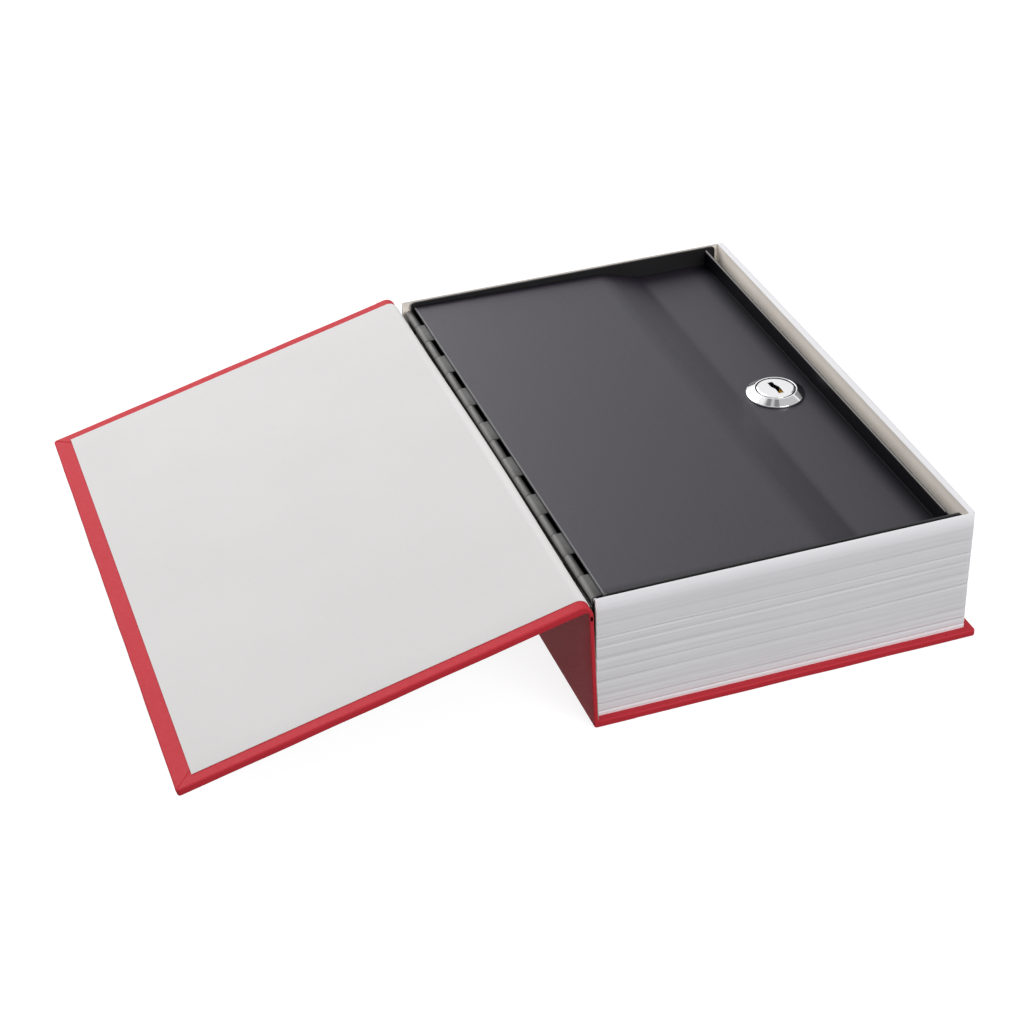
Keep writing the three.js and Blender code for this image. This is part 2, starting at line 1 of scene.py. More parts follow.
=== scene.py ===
"""A hardcover book that hides a steel cash box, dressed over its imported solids.

The file is laid out as an add-on: the sizes and colours are properties, each group of pieces is
an operator, and main() runs them in order. Shapes are written in the maker's own coordinates:
millimetres from the spine's outer foot (x), the near end (y) and the table (z). The front cover
has its own: u runs away from the hinge as a negative number and w stands out of the endpaper.
"""
import math

import bmesh
import bpy
from bpy.props import FloatProperty, FloatVectorProperty, IntProperty, PointerProperty
from mathutils import Matrix, Vector


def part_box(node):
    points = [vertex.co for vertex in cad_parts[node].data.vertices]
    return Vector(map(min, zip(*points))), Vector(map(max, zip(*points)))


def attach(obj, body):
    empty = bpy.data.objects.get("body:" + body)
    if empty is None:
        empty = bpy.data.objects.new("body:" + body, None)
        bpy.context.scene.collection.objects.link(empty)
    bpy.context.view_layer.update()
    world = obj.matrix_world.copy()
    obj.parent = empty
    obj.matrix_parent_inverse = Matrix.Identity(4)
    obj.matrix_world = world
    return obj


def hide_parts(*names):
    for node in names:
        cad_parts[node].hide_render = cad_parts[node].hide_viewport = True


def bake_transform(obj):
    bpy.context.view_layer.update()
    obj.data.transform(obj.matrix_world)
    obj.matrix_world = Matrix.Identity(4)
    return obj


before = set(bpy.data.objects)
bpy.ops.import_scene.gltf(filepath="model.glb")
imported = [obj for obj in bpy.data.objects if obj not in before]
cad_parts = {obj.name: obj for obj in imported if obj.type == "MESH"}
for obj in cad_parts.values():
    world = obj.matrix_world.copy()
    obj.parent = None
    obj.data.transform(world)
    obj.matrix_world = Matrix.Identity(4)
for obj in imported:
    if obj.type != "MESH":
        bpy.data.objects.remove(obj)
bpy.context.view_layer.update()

bl_info = {
    "name": "Book Cash Safe",
    "version": (1, 0, 0),
    "blender": (4, 5, 0),
    "location": "3D View > Sidebar > Book Safe",
    "description": "Dresses a book that hides a steel cash box over its packed solids",
    "category": "Object",
}

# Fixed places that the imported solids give, in millimetres
CASE_LOW, CASE_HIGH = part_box("case_covering")
BLOCK_LOW, BLOCK_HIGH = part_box("page_block")
PIN_LOW, PIN_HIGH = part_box("hinge_pin")
LID_LOW, LID_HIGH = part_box("lid_panel")
LOCK_LOW, LOCK_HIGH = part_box("lock_housing")
LENGTH = (CASE_HIGH.y - CASE_LOW.y) * 1000
WIDTH = CASE_HIGH.x * 2000
HALF_WIDTH = WIDTH / 2
HALF_LENGTH = LENGTH / 2
BLOCK_TOP = BLOCK_HIGH.z * 1000
BLOCK_NEAR = HALF_LENGTH + BLOCK_LOW.y * 1000
BLOCK_FORE = HALF_WIDTH + BLOCK_HIGH.x * 1000
PIN_X = HALF_WIDTH + (PIN_LOW.x + PIN_HIGH.x) * 500
PIN_Z = (PIN_LOW.z + PIN_HIGH.z) * 500
HINGE_START = HALF_LENGTH + PIN_LOW.y * 1000
HINGE_END = HALF_LENGTH + PIN_HIGH.y * 1000
LID_NEAR = HALF_LENGTH + LID_LOW.y * 1000
LID_FAR = HALF_LENGTH + LID_HIGH.y * 1000
FLANGE_OUT = HALF_WIDTH + LID_HIGH.x * 1000
FLANGE_TOP = LID_HIGH.z * 1000
LOCK_X = HALF_WIDTH + (LOCK_LOW.x + LOCK_HIGH.x) * 500
LOCK_Y = HALF_LENGTH + (LOCK_LOW.y + LOCK_HIGH.y) * 500
FACE_Z = LOCK_HIGH.z * 1000
BARREL_LOW = LOCK_LOW.z * 1000

# The open front cover: its hinge-side edge and its slope
COVER_EDGE_X = -1.85
COVER_EDGE_Z = 56.73
COVER_SLOPE = math.radians(14.27)
COVER_WAY = (math.cos(COVER_SLOPE), math.sin(COVER_SLOPE))
SPINE_LEAN = math.radians(2.2)
SPINE_WAY = (-math.sin(SPINE_LEAN), math.cos(SPINE_LEAN))
SPINE_TOP = 52.2
JOINT_FOOT = SPINE_TOP - 3.5
SPINE_INSIDE = 1.6
COVER_OVER, COVER_UNDER, COVER_INNER = -0.3, -3.25, -3.9
JOINT_REACH = -7.0


def length(name, description, default, low, high):
    """A length property, from millimetres."""
    return FloatProperty(
        name=name,
        description=description,
        default=default / 1000,
        min=low / 1000,
        max=high / 1000,
        unit="LENGTH",
    )


class BookSafeSizes(bpy.types.PropertyGroup):
    """Sizes of the pieces that a maker would change."""

    back_thickness: length("Back cover thickness", "Height of the covered back cover", 2.8, 2, 4)
    cover_width: length("Front cover width", "From hinge edge to fore-edge", 157.3, 150, 160)
    edge_rounding: length("Edge rounding", "Of the covering over a board's edge", 0.6, 0.3, 1.3)
    elbow_radius: length("Elbow radius", "Of the cloth joint over the spine", 4, 3, 5)
    page_depth: length("Page groove depth", "Of the grooves between bundles", 0.19, 0, 0.6)
    page_pitch: length("Page bundle height", "Mean height of one bundle of pages", 5.1, 3, 7)
    page_waver: length("Page waver", "How far the page grooves wander up and down", 1.2, 0, 4)
    page_seed: IntProperty(
        name="Page seed", description="Seed of the page lines", default=7, min=0, max=999
    )
    knuckle_pairs: IntProperty(
        name="Knuckle pairs", description="Knuckles on each hinge leaf", default=8, min=2, max=20
    )
    knuckle_radius: length("Knuckle radius", "Outer radius of a rolled knuckle", 1.85, 1, 2.5)
    lid_sheet: length("Lid sheet thickness", "Thickness of the lid's steel", 0.8, 0.4, 1.5)
    thread_pitch: length("Lock thread pitch", "Of the thread on the barrel", 1, 0.5, 2)


def colour(name, description, red, green, blue):
    """A colour property, written as it looks on a screen from 0 to 255."""
    return FloatVectorProperty(
        name=name,
        description=description,
        default=(red / 255, green / 255, blue / 255),
        size=3,
        min=0.0,
        max=1.0,
        subtype="COLOR_GAMMA",
    )


class BookSafeColours(bpy.types.PropertyGroup):
    """Colours of the finishes."""

    covering: colour("Covering", "Red book covering", 192, 44, 56)
    endpaper: colour("Endpaper", "Light paper inside the cover", 214, 212, 211)
    board: colour("Board", "Raw grey bookbinder's board", 168, 160, 148)
    pages: colour("Pages", "White page moulding", 229, 228, 231)
    pages_inside: colour("Pages inside", "Unpainted inner face of the moulding", 225, 217, 207)
    powder: colour("Box powder coat", "Black powder coat of the box", 22, 21, 23)
    lid: colour("Lid powder coat", "Black powder coat of the lid", 24, 20, 31)
    hinge: colour("Hinge coat", "Black coat of the hinge, worn smooth", 60, 59, 58)
    chrome: colour("Chrome", "Plating of the lock", 236, 236, 238)
    recess: colour("Lock recess", "Bottom of the groove round the plug", 20, 20, 21)
    zinc: colour("Zinc", "Plating of the nut, washer, cam, screw and pin", 196, 198, 202)
    brass: colour("Brass", "Stamped wafers", 205, 172, 98)


# Places


def at(x, y, z):
    """A point of the case in the frame's metres."""
    return ((x - HALF_WIDTH) / 1000, (y - HALF_LENGTH) / 1000, z / 1000)


def on_cover(u, w):
    """A point of the open cover, as x and z of the case."""
    x = COVER_EDGE_X + u * math.cos(COVER_SLOPE) - w * math.sin(COVER_SLOPE)
    z = COVER_EDGE_Z + u * math.sin(COVER_SLOPE) + w * math.cos(COVER_SLOPE)
    return x, z


def up_spine(out, up):
    """A point of the leaning spine, as x and z of the case."""
    x = out * math.cos(SPINE_LEAN) - up * math.sin(SPINE_LEAN)
    z = out * math.sin(SPINE_LEAN) + up * math.cos(SPINE_LEAN)
    return x, z


def meeting(point, way, other, other_way):
    """Where two lines in x and z cross."""
    cross = way[0] * other_way[1] - way[1] * other_way[0]
    apart = (other[0] - point[0], other[1] - point[1])
    reach = (apart[0] * other_way[1] - apart[1] * other_way[0]) / cross
    return point[0] + way[0] * reach, point[1] + way[1] * reach


def eased(value, low, high):
    """Rises smoothly from 0 at low to 1 at high."""
    t = min(1.0, max(0.0, (value - low) / (high - low)))
    return t * t * (3 - 2 * t)


def mm(size):
    return size * 1000


def arc(x, z, radius, start, end, steps):
    """Points of an arc about (x, z), with its angles in degrees."""
    points = []
    for step in range(steps + 1):
        angle = math.radians(start + (end - start) * step / steps)
        points.append((x + radius * math.cos(angle), z + radius * math.sin(angle)))
    return points


def stretch(start, end, steps):
    """Evenly spaced points after start, up to and with end."""
    return [
        tuple(a + (b - a) * step / steps for a, b in zip(start, end))
        for step in range(1, steps + 1)
    ]


def bent_path(points, reaches, steps):
    """A path whose corners are eased by curves that reach so far along each side."""
    path = [points[0]]
    for i in range(1, len(points) - 1):
        here = Vector(points[i])
        start = here + (Vector(points[i - 1]) - here).normalized() * reaches[i - 1]
        end = here + (Vector(points[i + 1]) - here).normalized() * reaches[i - 1]
        for step in range(steps + 1):
            t = step / steps
            curve = start * (1 - t) ** 2 + here * 2 * t * (1 - t) + end * t**2
            path.append(tuple(curve))
    path.append(points[-1])
    return path


def thickened(path, thickness):
    """A path and the same path one thickness to its right, as one closed outline."""
    under = []
    for i, (x, z) in enumerate(path):
        before, after = path[max(i - 1, 0)], path[min(i + 1, len(path) - 1)]
        along = Vector((after[0] - before[0], after[1] - before[1])).normalized()
        under.append((x + along.y * thickness, z - along.x * thickness))
    return path + under[::-1]


def drawn_in(outline, distance):
    """A closed outline moved inwards by a small distance."""
    area = sum(
        outline[i - 1][0] * outline[i][1] - outline[i][0] * outline[i - 1][1]
        for i in range(len(outline))
    )
    side = distance if area > 0 else -distance
    inner = []
    for i, (x, z) in enumerate(outline):
        before, after = outline[i - 1], outline[(i + 1) % len(outline)]
        along = Vector((after[0] - before[0], after[1] - before[1])).normalized()
        inner.append((x - along.y * side, z + along.x * side))
    return inner


# Meshes


def placed(name, data):
    """Adds an object for a mesh, a lamp or a camera to the scene."""
    piece = bpy.data.objects.new(name, data)
    bpy.context.scene.collection.objects.link(piece)
    return piece


def new_piece(name, points, faces, material=None, smooth=35):
    """A mesh object at the origin from points in metres."""
    mesh = bpy.data.meshes.new(name)
    mesh.from_pydata(points, [], faces)
    shell = bmesh.new()
    shell.from_mesh(mesh)
    bmesh.ops.remove_doubles(shell, verts=shell.verts, dist=1e-7)
    bmesh.ops.recalc_face_normals(shell, faces=shell.faces)
    shell.to_mesh(mesh)
    shell.free()
    soften_shading(mesh, smooth)
    if material:
        mesh.materials.append(material)
    return placed(name, mesh)


def soften_shading(mesh, smooth):
    """Smooth shading, with sharp edges where faces meet at more than this many degrees."""
    mesh.shade_smooth()
    mesh.set_sharp_from_angle(angle=math.radians(smooth))


def joined(piece, extra):
    """Adds a second piece's mesh to the first, and drops the second."""
    shell = bmesh.new()
    shell.from_mesh(piece.data)
    shell.from_mesh(extra.data)
    shell.to_mesh(piece.data)
    shell.free()
    bpy.data.objects.remove(extra)


def lofted(loops, caps=True, closed=True):
    """Points and faces of a skin over loops that have the same number of points."""
    count = len(loops[0])
    points = [point for loop in loops for point in loop]
    faces = []
    for row in range(len(loops) - 1):
        for i in range(count if closed else count - 1):
            a = row * count + i
            b = row * count + (i + 1) % count
            faces.append((a, b, b + count, a + count))
    if caps:
        last = (len(loops) - 1) * count
        faces.append(tuple(range(count - 1, -1, -1)))
        faces.append(tuple(range(last, last + count)))
    return points, faces


def merged(*parts):
    """Several lists of points and faces as one."""
    points, faces = [], []
    for some_points, some_faces in parts:
        start = len(points)
        points.extend(some_points)
        faces.extend(tuple(start + i for i in face) for face in some_faces)
    return points, faces


def quarter_turn(steps):
    """Evenly spaced angles from 0 to a right angle, in radians."""
    return [math.pi / 2 * step / steps for step in range(steps + 1)]


def quarter_round(radius, steps):
    """A quarter round, as how far each point is along from its start and short of its end."""
    return [
        (radius * (1 - math.cos(turn)), radius * (1 - math.sin(turn)))
        for turn in quarter_turn(steps)
    ]


def end_rounds(near, far, rounding, pitch, steps):
    """Stations along a bar, as places and insets, with a quarter round at each end."""
    start = [(near + along, inset) for along, inset in quarter_round(rounding, steps)]
    count = max(1, round((far - near) / pitch))
    middle = [(near + (far - near) * step / count, 0.0) for step in range(1, count)]
    end = [(near + far - y, inset) for y, inset in reversed(start)]
    return start + middle + end


def bar(outline, near, far, rounding, pitch=8.0, steps=4, shift=None):
    """A bar along y with this outline in x and z, whose ends are rounded over."""
    rows = []
    for y, inset in end_rounds(near, far, rounding, pitch, steps):
        row = drawn_in(outline, inset)
        if shift:
            row = [shift(x, y, z) for x, z in row]
        rows.append([at(x, y, z) for x, z in row])
    return lofted(rows)


def turned(profile, steps, ring=False):
    """A turned shape about the lock's axis: the profile holds radii and heights."""
    loops = []
    for step in range(steps):
        angle = 2 * math.pi * step / steps
        across, along = math.cos(angle), math.sin(angle)
        loops.append([at(LOCK_X + r * across, LOCK_Y + r * along, z) for r, z in profile])
    loops.append(loops[0])
    return lofted(loops, caps=False, closed=ring)


def evaluated(piece):
    """Turns a piece with modifiers into a plain mesh."""
    graph = bpy.context.evaluated_depsgraph_get()
    mesh = bpy.data.meshes.new_from_object(piece.evaluated_get(graph))
    piece.modifiers.clear()
    old = piece.data
    piece.data = mesh
    bpy.data.meshes.remove(old)


def carve(piece, *cutters, smooth=35):
    """Takes the cutters' shapes out of a piece."""
    for cutter in cutters:
        change = piece.modifiers.new("Carve", "BOOLEAN")
        change.operation = "DIFFERENCE"
        change.solver = "EXACT"
        change.object = cutter
    evaluated(piece)
    for cutter in cutters:
        bpy.data.objects.remove(cutter)
    soften_shading(piece.data, smooth)


def block(x0, x1, y0, y1, z0, z1):
    """A plain box in the case's millimetres, as points and faces."""
    corners = ((x0, y0), (x1, y0), (x1, y1), (x0, y1))
    return lofted([[at(x, y, z) for x, y in corners] for z in (z0, z1)])


def flatten_faces(piece):
    """Keeps flat faces flat in the shading, next to small eased edges."""
    weighted = piece.modifiers.new("Flat faces", "WEIGHTED_NORMAL")
    weighted.keep_sharp = True
    evaluated(piece)


def break_edges(piece, width, segments, angle):
    """Rounds a piece's sharp edges by a width in millimetres and keeps its flat faces flat."""
    bevel = piece.modifiers.new("Broken edges", "BEVEL")
    bevel.width = width / 1000
    bevel.segments = segments
    bevel.limit_method = "ANGLE"
    bevel.angle_limit = math.radians(angle)
    bevel.use_clamp_overlap = True
    flatten_faces(piece)


def eased_copy(name, node, material, width):
    """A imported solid's own shape, with its faces joined and its edges broken."""
    shell = bmesh.new()
    shell.from_mesh(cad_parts[node].data)
    bmesh.ops.remove_doubles(shell, verts=shell.verts, dist=2e-6)
    bmesh.ops.dissolve_limit(
        shell, angle_limit=math.radians(0.6), verts=shell.verts, edges=shell.edges
    )
    mesh = bpy.data.meshes.new(name)
    shell.to_mesh(mesh)
    shell.free()
    mesh.materials.clear()
    mesh.materials.append(material)
    soften_shading(mesh, 60)
    piece = placed(name, mesh)
    break_edges(piece, width, 2, 32)
    return piece


def settle(piece, body, slot, *nodes):
    """Names the body a finished piece moves with and hides what it stands for; slot is not used.
    """
    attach(piece, body)
    if nodes:
        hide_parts(*nodes)


# Finishes


def linear(tint):
    """A screen colour as linear light."""
    return tuple(
        c / 12.92 if c <= 0.04045 else ((c + 0.055) / 1.055) ** 2.4 for c in tint
    ) + (1.0,)


def set_inputs(node, **values):
    """Sets a node's inputs by name, with underscores for the spaces."""
    for name, value in values.items():
        node.inputs[name.replace("_", " ")].default_value = value


class Finish:
    """A material under construction, on the object's own coordinates."""

    def __init__(self, name, tint, metallic=0.0, specular=0.5):
        self.material = bpy.data.materials.new(name)
        self.material.use_nodes = True
        self.nodes = self.material.node_tree.nodes
        self.links = self.material.node_tree.links
        self.shader = self.nodes["Principled BSDF"]
        self.tint = linear(tint)
        set_inputs(
            self.shader, Base_Color=self.tint, Metallic=metallic, Specular_IOR_Level=specular
        )
        self.place = self.nodes.new("ShaderNodeTexCoord").outputs["Object"]
        self.height = None

    def noise(self, size, detail=3.0, rough=0.55, squeeze=None):
        """Noise whose patches are this many millimetres wide."""
        node = self.nodes.new("ShaderNodeTexNoise")
        set_inputs(node, Scale=1000 / size, Detail=detail, Roughness=rough)
        place = self.place
        if squeeze:
            mapping = self.nodes.new("ShaderNodeMapping")
            mapping.inputs["Scale"].default_value = squeeze
            self.links.new(place, mapping.inputs["Vector"])
            place = mapping.outputs["Vector"]
        self.links.new(place, node.inputs["Vector"])
        return node.outputs["Fac"]

    def spots(self, size):
        """Cells of this size, as the distance from their middles."""
        node = self.nodes.new("ShaderNodeTexVoronoi")
        node.inputs["Scale"].default_value = 1000 / size
        self.links.new(self.place, node.inputs["Vector"])
        return node.outputs["Distance"]

    def along(self, axis):
        """The place along one axis in metres."""
        node = self.nodes.new("ShaderNodeSeparateXYZ")
        self.links.new(self.place, node.inputs["Vector"])
        return node.outputs[axis]

    def carried(self, name, target, plain):
        """Feeds what a shader input has so far into a node, and gives that input back."""
        socket = self.shader.inputs[name]
        if socket.is_linked:
            self.links.new(socket.links[0].from_socket, target)
        else:
            target.default_value = plain
        return socket

    def dull(self, axis, start, end, least):
        """Painted shade: darkens the colour and lowers the gloss along an axis."""
        across = self.along(axis)
        self.shade(across, 1.0, least, start, end)
        gloss = self.nodes.new("ShaderNodeMath")
        gloss.operation = "MULTIPLY"
        name = "Specular IOR Level"
        plain = self.shader.inputs[name].default_value
        socket = self.carried(name, gloss.inputs[0], plain)
        self.links.new(self.ranged(across, 1.0, least, start, end), gloss.inputs[1])
        self.links.new(gloss.outputs[0], socket)

    def ranged(self, value, low, high, from_low=0.3, from_high=0.7):
        """A value moved from one range to another."""
        node = self.nodes.new("ShaderNodeMapRange")
        set_inputs(node, From_Min=from_low, From_Max=from_high, To_Min=low, To_Max=high)
        self.links.new(value, node.inputs["Value"])
        return node.outputs["Result"]

    def shade(self, value, *limits):
        """Makes the colour so far darker or lighter by a factor that follows value."""
        factor = self.ranged(value, *limits)
        node = self.nodes.new("ShaderNodeVectorMath")
        node.operation = "SCALE"
        socket = self.carried("Base Color", node.inputs[0], self.tint[:3])
        self.links.new(factor, node.inputs["Scale"])
        self.links.new(node.outputs["Vector"], socket)

    def mottle(self, value, tint, amount, from_low=0.4, from_high=0.7):
        """Mixes another tint in where value is high."""
        factor = self.ranged(value, 0.0, amount, from_low, from_high)
        node = self.nodes.new("ShaderNodeMix")
        node.data_type = "RGBA"
        socket = self.carried("Base Color", node.inputs["A"], self.tint)
        node.inputs["B"].default_value = linear(tint)
        self.links.new(factor, node.inputs["Factor"])
        self.links.new(node.outputs["Result"], socket)

    def roughness(self, value, low, high):
        """Roughness that follows value."""
        self.links.new(self.ranged(value, low, high), self.shader.inputs["Roughness"])

    def bump(self, value, depth, strength=1.0):
        """Adds relief of this depth in millimetres."""
        node = self.nodes.new("ShaderNodeBump")
        set_inputs(node, Distance=depth / 1000, Strength=strength)
        self.links.new(value, node.inputs["Height"])
        if self.height:
            self.links.new(self.height, node.inputs["Normal"])
        self.height = node.outputs["Normal"]
        self.links.new(self.height, self.shader.inputs["Normal"])


def covering_finish(tint):
    """Matte book covering: a fine pressed grain, faint mottling and softly rubbed patches."""
    finish = Finish("Red covering", tint, specular=0.2)
    grain = finish.noise(0.35, detail=2.0)
    finish.shade(grain, 0.965, 1.03)
    finish.shade(finish.noise(26.0, detail=2.0), 0.98, 1.02)
    finish.roughness(finish.noise(1.4, detail=3.0), 0.55, 0.66)
    finish.bump(finish.spots(0.42), 0.012, 0.6)
    finish.bump(grain, 0.02, 0.7)
    finish.bump(finish.noise(14.0, detail=2.0), 0.08, 0.5)
    return finish.material


def board_finish(tint):
    """Raw grey board: pressed fibres with darker and lighter flecks."""
    finish = Finish("Grey board", tint, specular=0.2)
    finish.shade(finish.noise(0.8, detail=4.0), 0.86, 1.1)
    finish.mottle(finish.noise(0.5, detail=2.0), (0.36, 0.33, 0.3), 0.6, 0.62, 0.7)
    finish.roughness(finish.noise(2.0), 0.82, 0.95)
    finish.bump(finish.noise(0.4, detail=4.0), 0.05, 0.7)
    return finish.material


def endpaper_finish(tint):
    """Smooth uncoated paper: fine fibres and the faint waves of a pasted sheet."""
    finish = Finish("Endpaper", tint, specular=0.25)
    # Painted light: the paper is made up to a third lighter over its last few millimetres towards
    # the elbow, where it turns away from the lamps.
    finish.shade(finish.along("X"), 1.0, 1.3, at(-5.0, 0, 0)[0], at(-1.0, 0, 0)[0])
    finish.shade(finish.noise(0.6, detail=4.0, squeeze=(1.0, 0.45, 1.0)), 0.985, 1.012)
    finish.shade(finish.noise(45.0, detail=2.0), 0.985, 1.012)
    finish.roughness(finish.noise(1.0), 0.6, 0.72)
    finish.bump(finish.noise(0.35, detail=3.0), 0.008, 0.6)
    finish.bump(finish.noise(30.0, detail=1.5), 0.1, 0.35)
    return finish.material


def pages_finish(tint):
    """White moulding: fine page lines that run along the block and a soft satin."""
    finish = Finish("Page moulding", tint, specular=0.35)
    lines = finish.noise(9.0, detail=4.0, rough=0.6, squeeze=(0.12, 0.12, 9.0))
    finish.shade(lines, 0.98, 1.012)
    finish.shade(finish.noise(20.0), 0.985, 1.01)
    # Painted light: the walls are made up to a fifth lighter towards their top.
    finish.shade(finish.along("Z"), 1.0, 1.2, 0.0475, 0.054)
    # Painted shade: the flat top face and its rounded edge are made darker.
    finish.shade(finish.along("Z"), 1.0, 0.82, 0.05485, 0.05505)
    finish.roughness(finish.noise(3.0), 0.46, 0.6)
    finish.bump(lines, 0.025, 0.5)
    finish.bump(finish.noise(0.3, detail=2.0), 0.008, 0.5)
    return finish.material


def inner_pages_finish(tint):
    """The moulding's bare inner face, a little yellowed, with faint flow marks."""
    finish = Finish("Page moulding inside", tint, specular=0.3)
    finish.shade(finish.noise(24.0, detail=2.0, squeeze=(1.0, 1.0, 0.4)), 0.93, 1.04)
    # Painted light: the lower part of the inner face is made up to a third lighter, lifting the
    # shade that falls there.
    finish.shade(finish.along("Z"), 1.35, 1.0, 0.051, 0.0545)
    finish.roughness(finish.noise(4.0), 0.5, 0.62)
    finish.bump(finish.noise(0.8, detail=3.0), 0.02, 0.5)
    return finish.material


def powder_finish(name, tint, specular, low, high, wear=0.0):
    """Black powder coat: a fine orange-peel skin whose gloss hardly varies."""
    finish = Finish(name, tint, specular=specular)
    finish.shade(finish.noise(0.5, detail=2.0), 0.92, 1.08)
    if wear:
        finish.mottle(finish.noise(5.0, detail=4.0), (0.42, 0.41, 0.41), wear, 0.55, 0.75)
    finish.roughness(finish.noise(1.2, detail=3.0), low, high)
    finish.bump(finish.noise(0.45, detail=1.5), 0.012, 0.55)
    finish.bump(finish.noise(1.1, detail=2.0), 0.008, 0.4)
    return finish


def box_finish(tint):
    """The box's plain powder coat."""
    return powder_finish("Box powder coat", tint, 0.3, 0.46, 0.56).material


def lid_finish(tint):
    """The lid's coat, with painted edge highlights and painted shade by the flange and near end.
    """
    finish = powder_finish("Lid powder coat", tint, 0.52, 0.44, 0.5)
    finish.shader.inputs["Specular Tint"].default_value = (0.97, 0.94, 1.0, 1)
    flange, near, top = at(FLANGE_OUT, LID_NEAR, FLANGE_TOP)
    edge = at(LID_EDGE[0], 0, 0)[0]
    # Painted shade: the low plane darkens and loses its gloss over the last 9 mm before the
    # flange.
    finish.dull("X", flange - 0.0095, flange - 0.0004, 0.16)
    # Painted highlight: a pale line along the flange's top.
    finish.mottle(finish.along("Z"), (0.58, 0.57, 0.56), 0.9, top - 0.0006, top - 0.0003)
    # Painted shade: a dark line along the outer side of the flange's top and down its outer face.
    finish.shade(finish.along("X"), 1.0, 0.2, flange - 0.0004, flange - 0.0003)
    # Painted shade: darker and less glossy over the last 4 mm at the near end.
    finish.dull("Y", near + 0.004, near + 0.0008, 0.7)
    # Painted highlight: a pale line along the lid's hinge-side edge.
    finish.mottle(finish.along("X"), (0.46, 0.455, 0.46), 0.8, edge + 0.0006, edge + 0.0003)
    return finish.material


def hinge_finish(tint):
    """The hinge's coat: painted light on the knuckles' outer side, painted shade along its rim."""
    finish = powder_finish("Hinge coat", tint, 0.36, 0.38, 0.46, wear=0.1)
    pin = at(PIN_X, 0, 0)[0]
    # Painted light: the knuckles' outer side is made up to four times lighter.
    finish.shade(finish.along("X"), 4.0, 1.0, pin - 0.0014, pin + 0.0004)
    # Painted shade: a thin dark line along the knuckles' outermost edge.
    finish.shade(finish.along("X"), 0.1, 1.0, pin - 0.00178, pin - 0.0016)
    return finish.material


def recess_finish(tint):
    """The dull bottom of the groove round the plug, dark with oil and dust."""
    finish = Finish("Lock recess", tint, specular=0.2)
    finish.shade(finish.noise(0.4, detail=3.0), 0.7, 1.2)
    finish.roughness(finish.noise(0.7), 0.5, 0.75)
    finish.bump(finish.noise(0.3, detail=2.0), 0.006, 0.5)
    return finish.material


def chrome_finish(tint):
    """Polished plating with hair-thin handling marks."""
    finish = Finish("Chrome plating", tint, metallic=1.0)
    marks = finish.noise(2.2, detail=4.0, squeeze=(0.3, 3.0, 1.0))
    finish.roughness(marks, 0.055, 0.13)
    finish.shade(finish.noise(6.0), 0.98, 1.01)
    finish.bump(marks, 0.003, 0.25)
    return finish.material


def zinc_finish(tint):
    """Dull bright zinc with a faint spangle and drawn lines."""
    finish = Finish("Zinc plating", tint, metallic=1.0)
    finish.shade(finish.spots(1.6), 0.9, 1.04, 0.1, 0.7)
    finish.roughness(finish.noise(1.1, detail=3.0), 0.26, 0.42)
    finish.bump(finish.noise(0.6, detail=3.0, squeeze=(0.2, 3.0, 1.0)), 0.006, 0.5)
    return finish.material


def brass_finish(tint):
    """Stamped sheet brass with drawn lines."""
    finish = Finish("Wafer brass", tint, metallic=1.0)
    finish.shade(finish.noise(1.5), 0.9, 1.05)
    finish.roughness(finish.noise(0.5, detail=3.0, squeeze=(3.0, 0.3, 1.0)), 0.22, 0.38)
    finish.bump(finish.noise(0.4, detail=2.0, squeeze=(3.0, 0.3, 1.0)), 0.004, 0.5)
    return finish.material


FINISHES = {
    "covering": covering_finish,
    "endpaper": endpaper_finish,
    "board": board_finish,
    "pages": pages_finish,
    "pages_inside": inner_pages_finish,
    "powder": box_finish,
    "lid": lid_finish,
    "hinge": hinge_finish,
    "recess": recess_finish,
    "chrome": chrome_finish,
    "zinc": zinc_finish,
    "brass": brass_finish,
}
MADE = {}
WAFERS = [f"wafer_{index}" for index in range(1, 6)]


class Step:
    """What the steps share: each makes its pieces from the sizes."""

    def execute(self, context):
        self.make(context.scene.book_safe_sizes)
        return {"FINISHED"}


class BOOKSAFE_OT_finishes(bpy.types.Operator):
    """Makes every finish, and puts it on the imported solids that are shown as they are"""

    bl_idname = "book_safe.finishes"
    bl_label = "Finishes"

    def execute(self, context):
        colours = context.scene.book_safe_colours
        for name, make in FINISHES.items():
            MADE[name] = make(getattr(colours, name))
        shown = {f"{side}_board": "board" for side in ("back", "spine", "front")}
        shown.update({node: "brass" for node in WAFERS})
        for node, name in shown.items():
            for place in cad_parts[node].material_slots:
                place.material = MADE[name]
        return {"FINISHED"}


# Book case

COVER_CORNER, LEAST_CORNER = 1.2, 0.8
CORNER_STEPS, EDGE_STEPS = 8, 6
SIDE_PARTS, END_PARTS = 40, 26
TURN_IN = 14
UNDERSIDE_INSETS = (34.0, 12.0, 4.0, 1.6)
INSIDE_INSETS = (1.3, 1.9, 2.6, 3.3, 4.2, 5.4, 7.0, 9.0, 11.5, 13.8, 34.0)
CLOTH_EASE = 0.35
CLOTH_DRIFT, DRIFT_REACH = 0.05, 4

# Relief of the folds at a corner: on its edge, along its mitre and beside it
PLEAT_STEPS, PLEAT_LOW, PLEAT_HIGH = (2, 4, 6), -0.07, 0.03
MITRE_RELIEF, FOLD_HIGH = {0: -0.16, 1: -0.1}, 0.07

# The back covering's inner edge, and the spine's covering down to its foot under the back board
BACK_INNER = 1.2
FOOT_WIDTH, FOOT_START, FOOT_ROUND = 16.0, 4.0, 1.2
SPINE_STRIP_TOP = SPINE_TOP - 1
STRIP_INSIDE, STRIP_OVER_BOARD = 1.58, 1.25

# The cover's hinge side: its bow towards the lid, and what is free to follow it
BOW_LEAST, BOW_MORE, BOW_MIDDLE, BOW_HALF_WAVE = 0.2, 0.45, 105.8, 115
END_LIFT = 0.45
FREE_HEIGHTS, FREE_REACHES, BOW_FADE = (50.8, 54.2), (2.0, 4.5), (-30.0, -6.0)


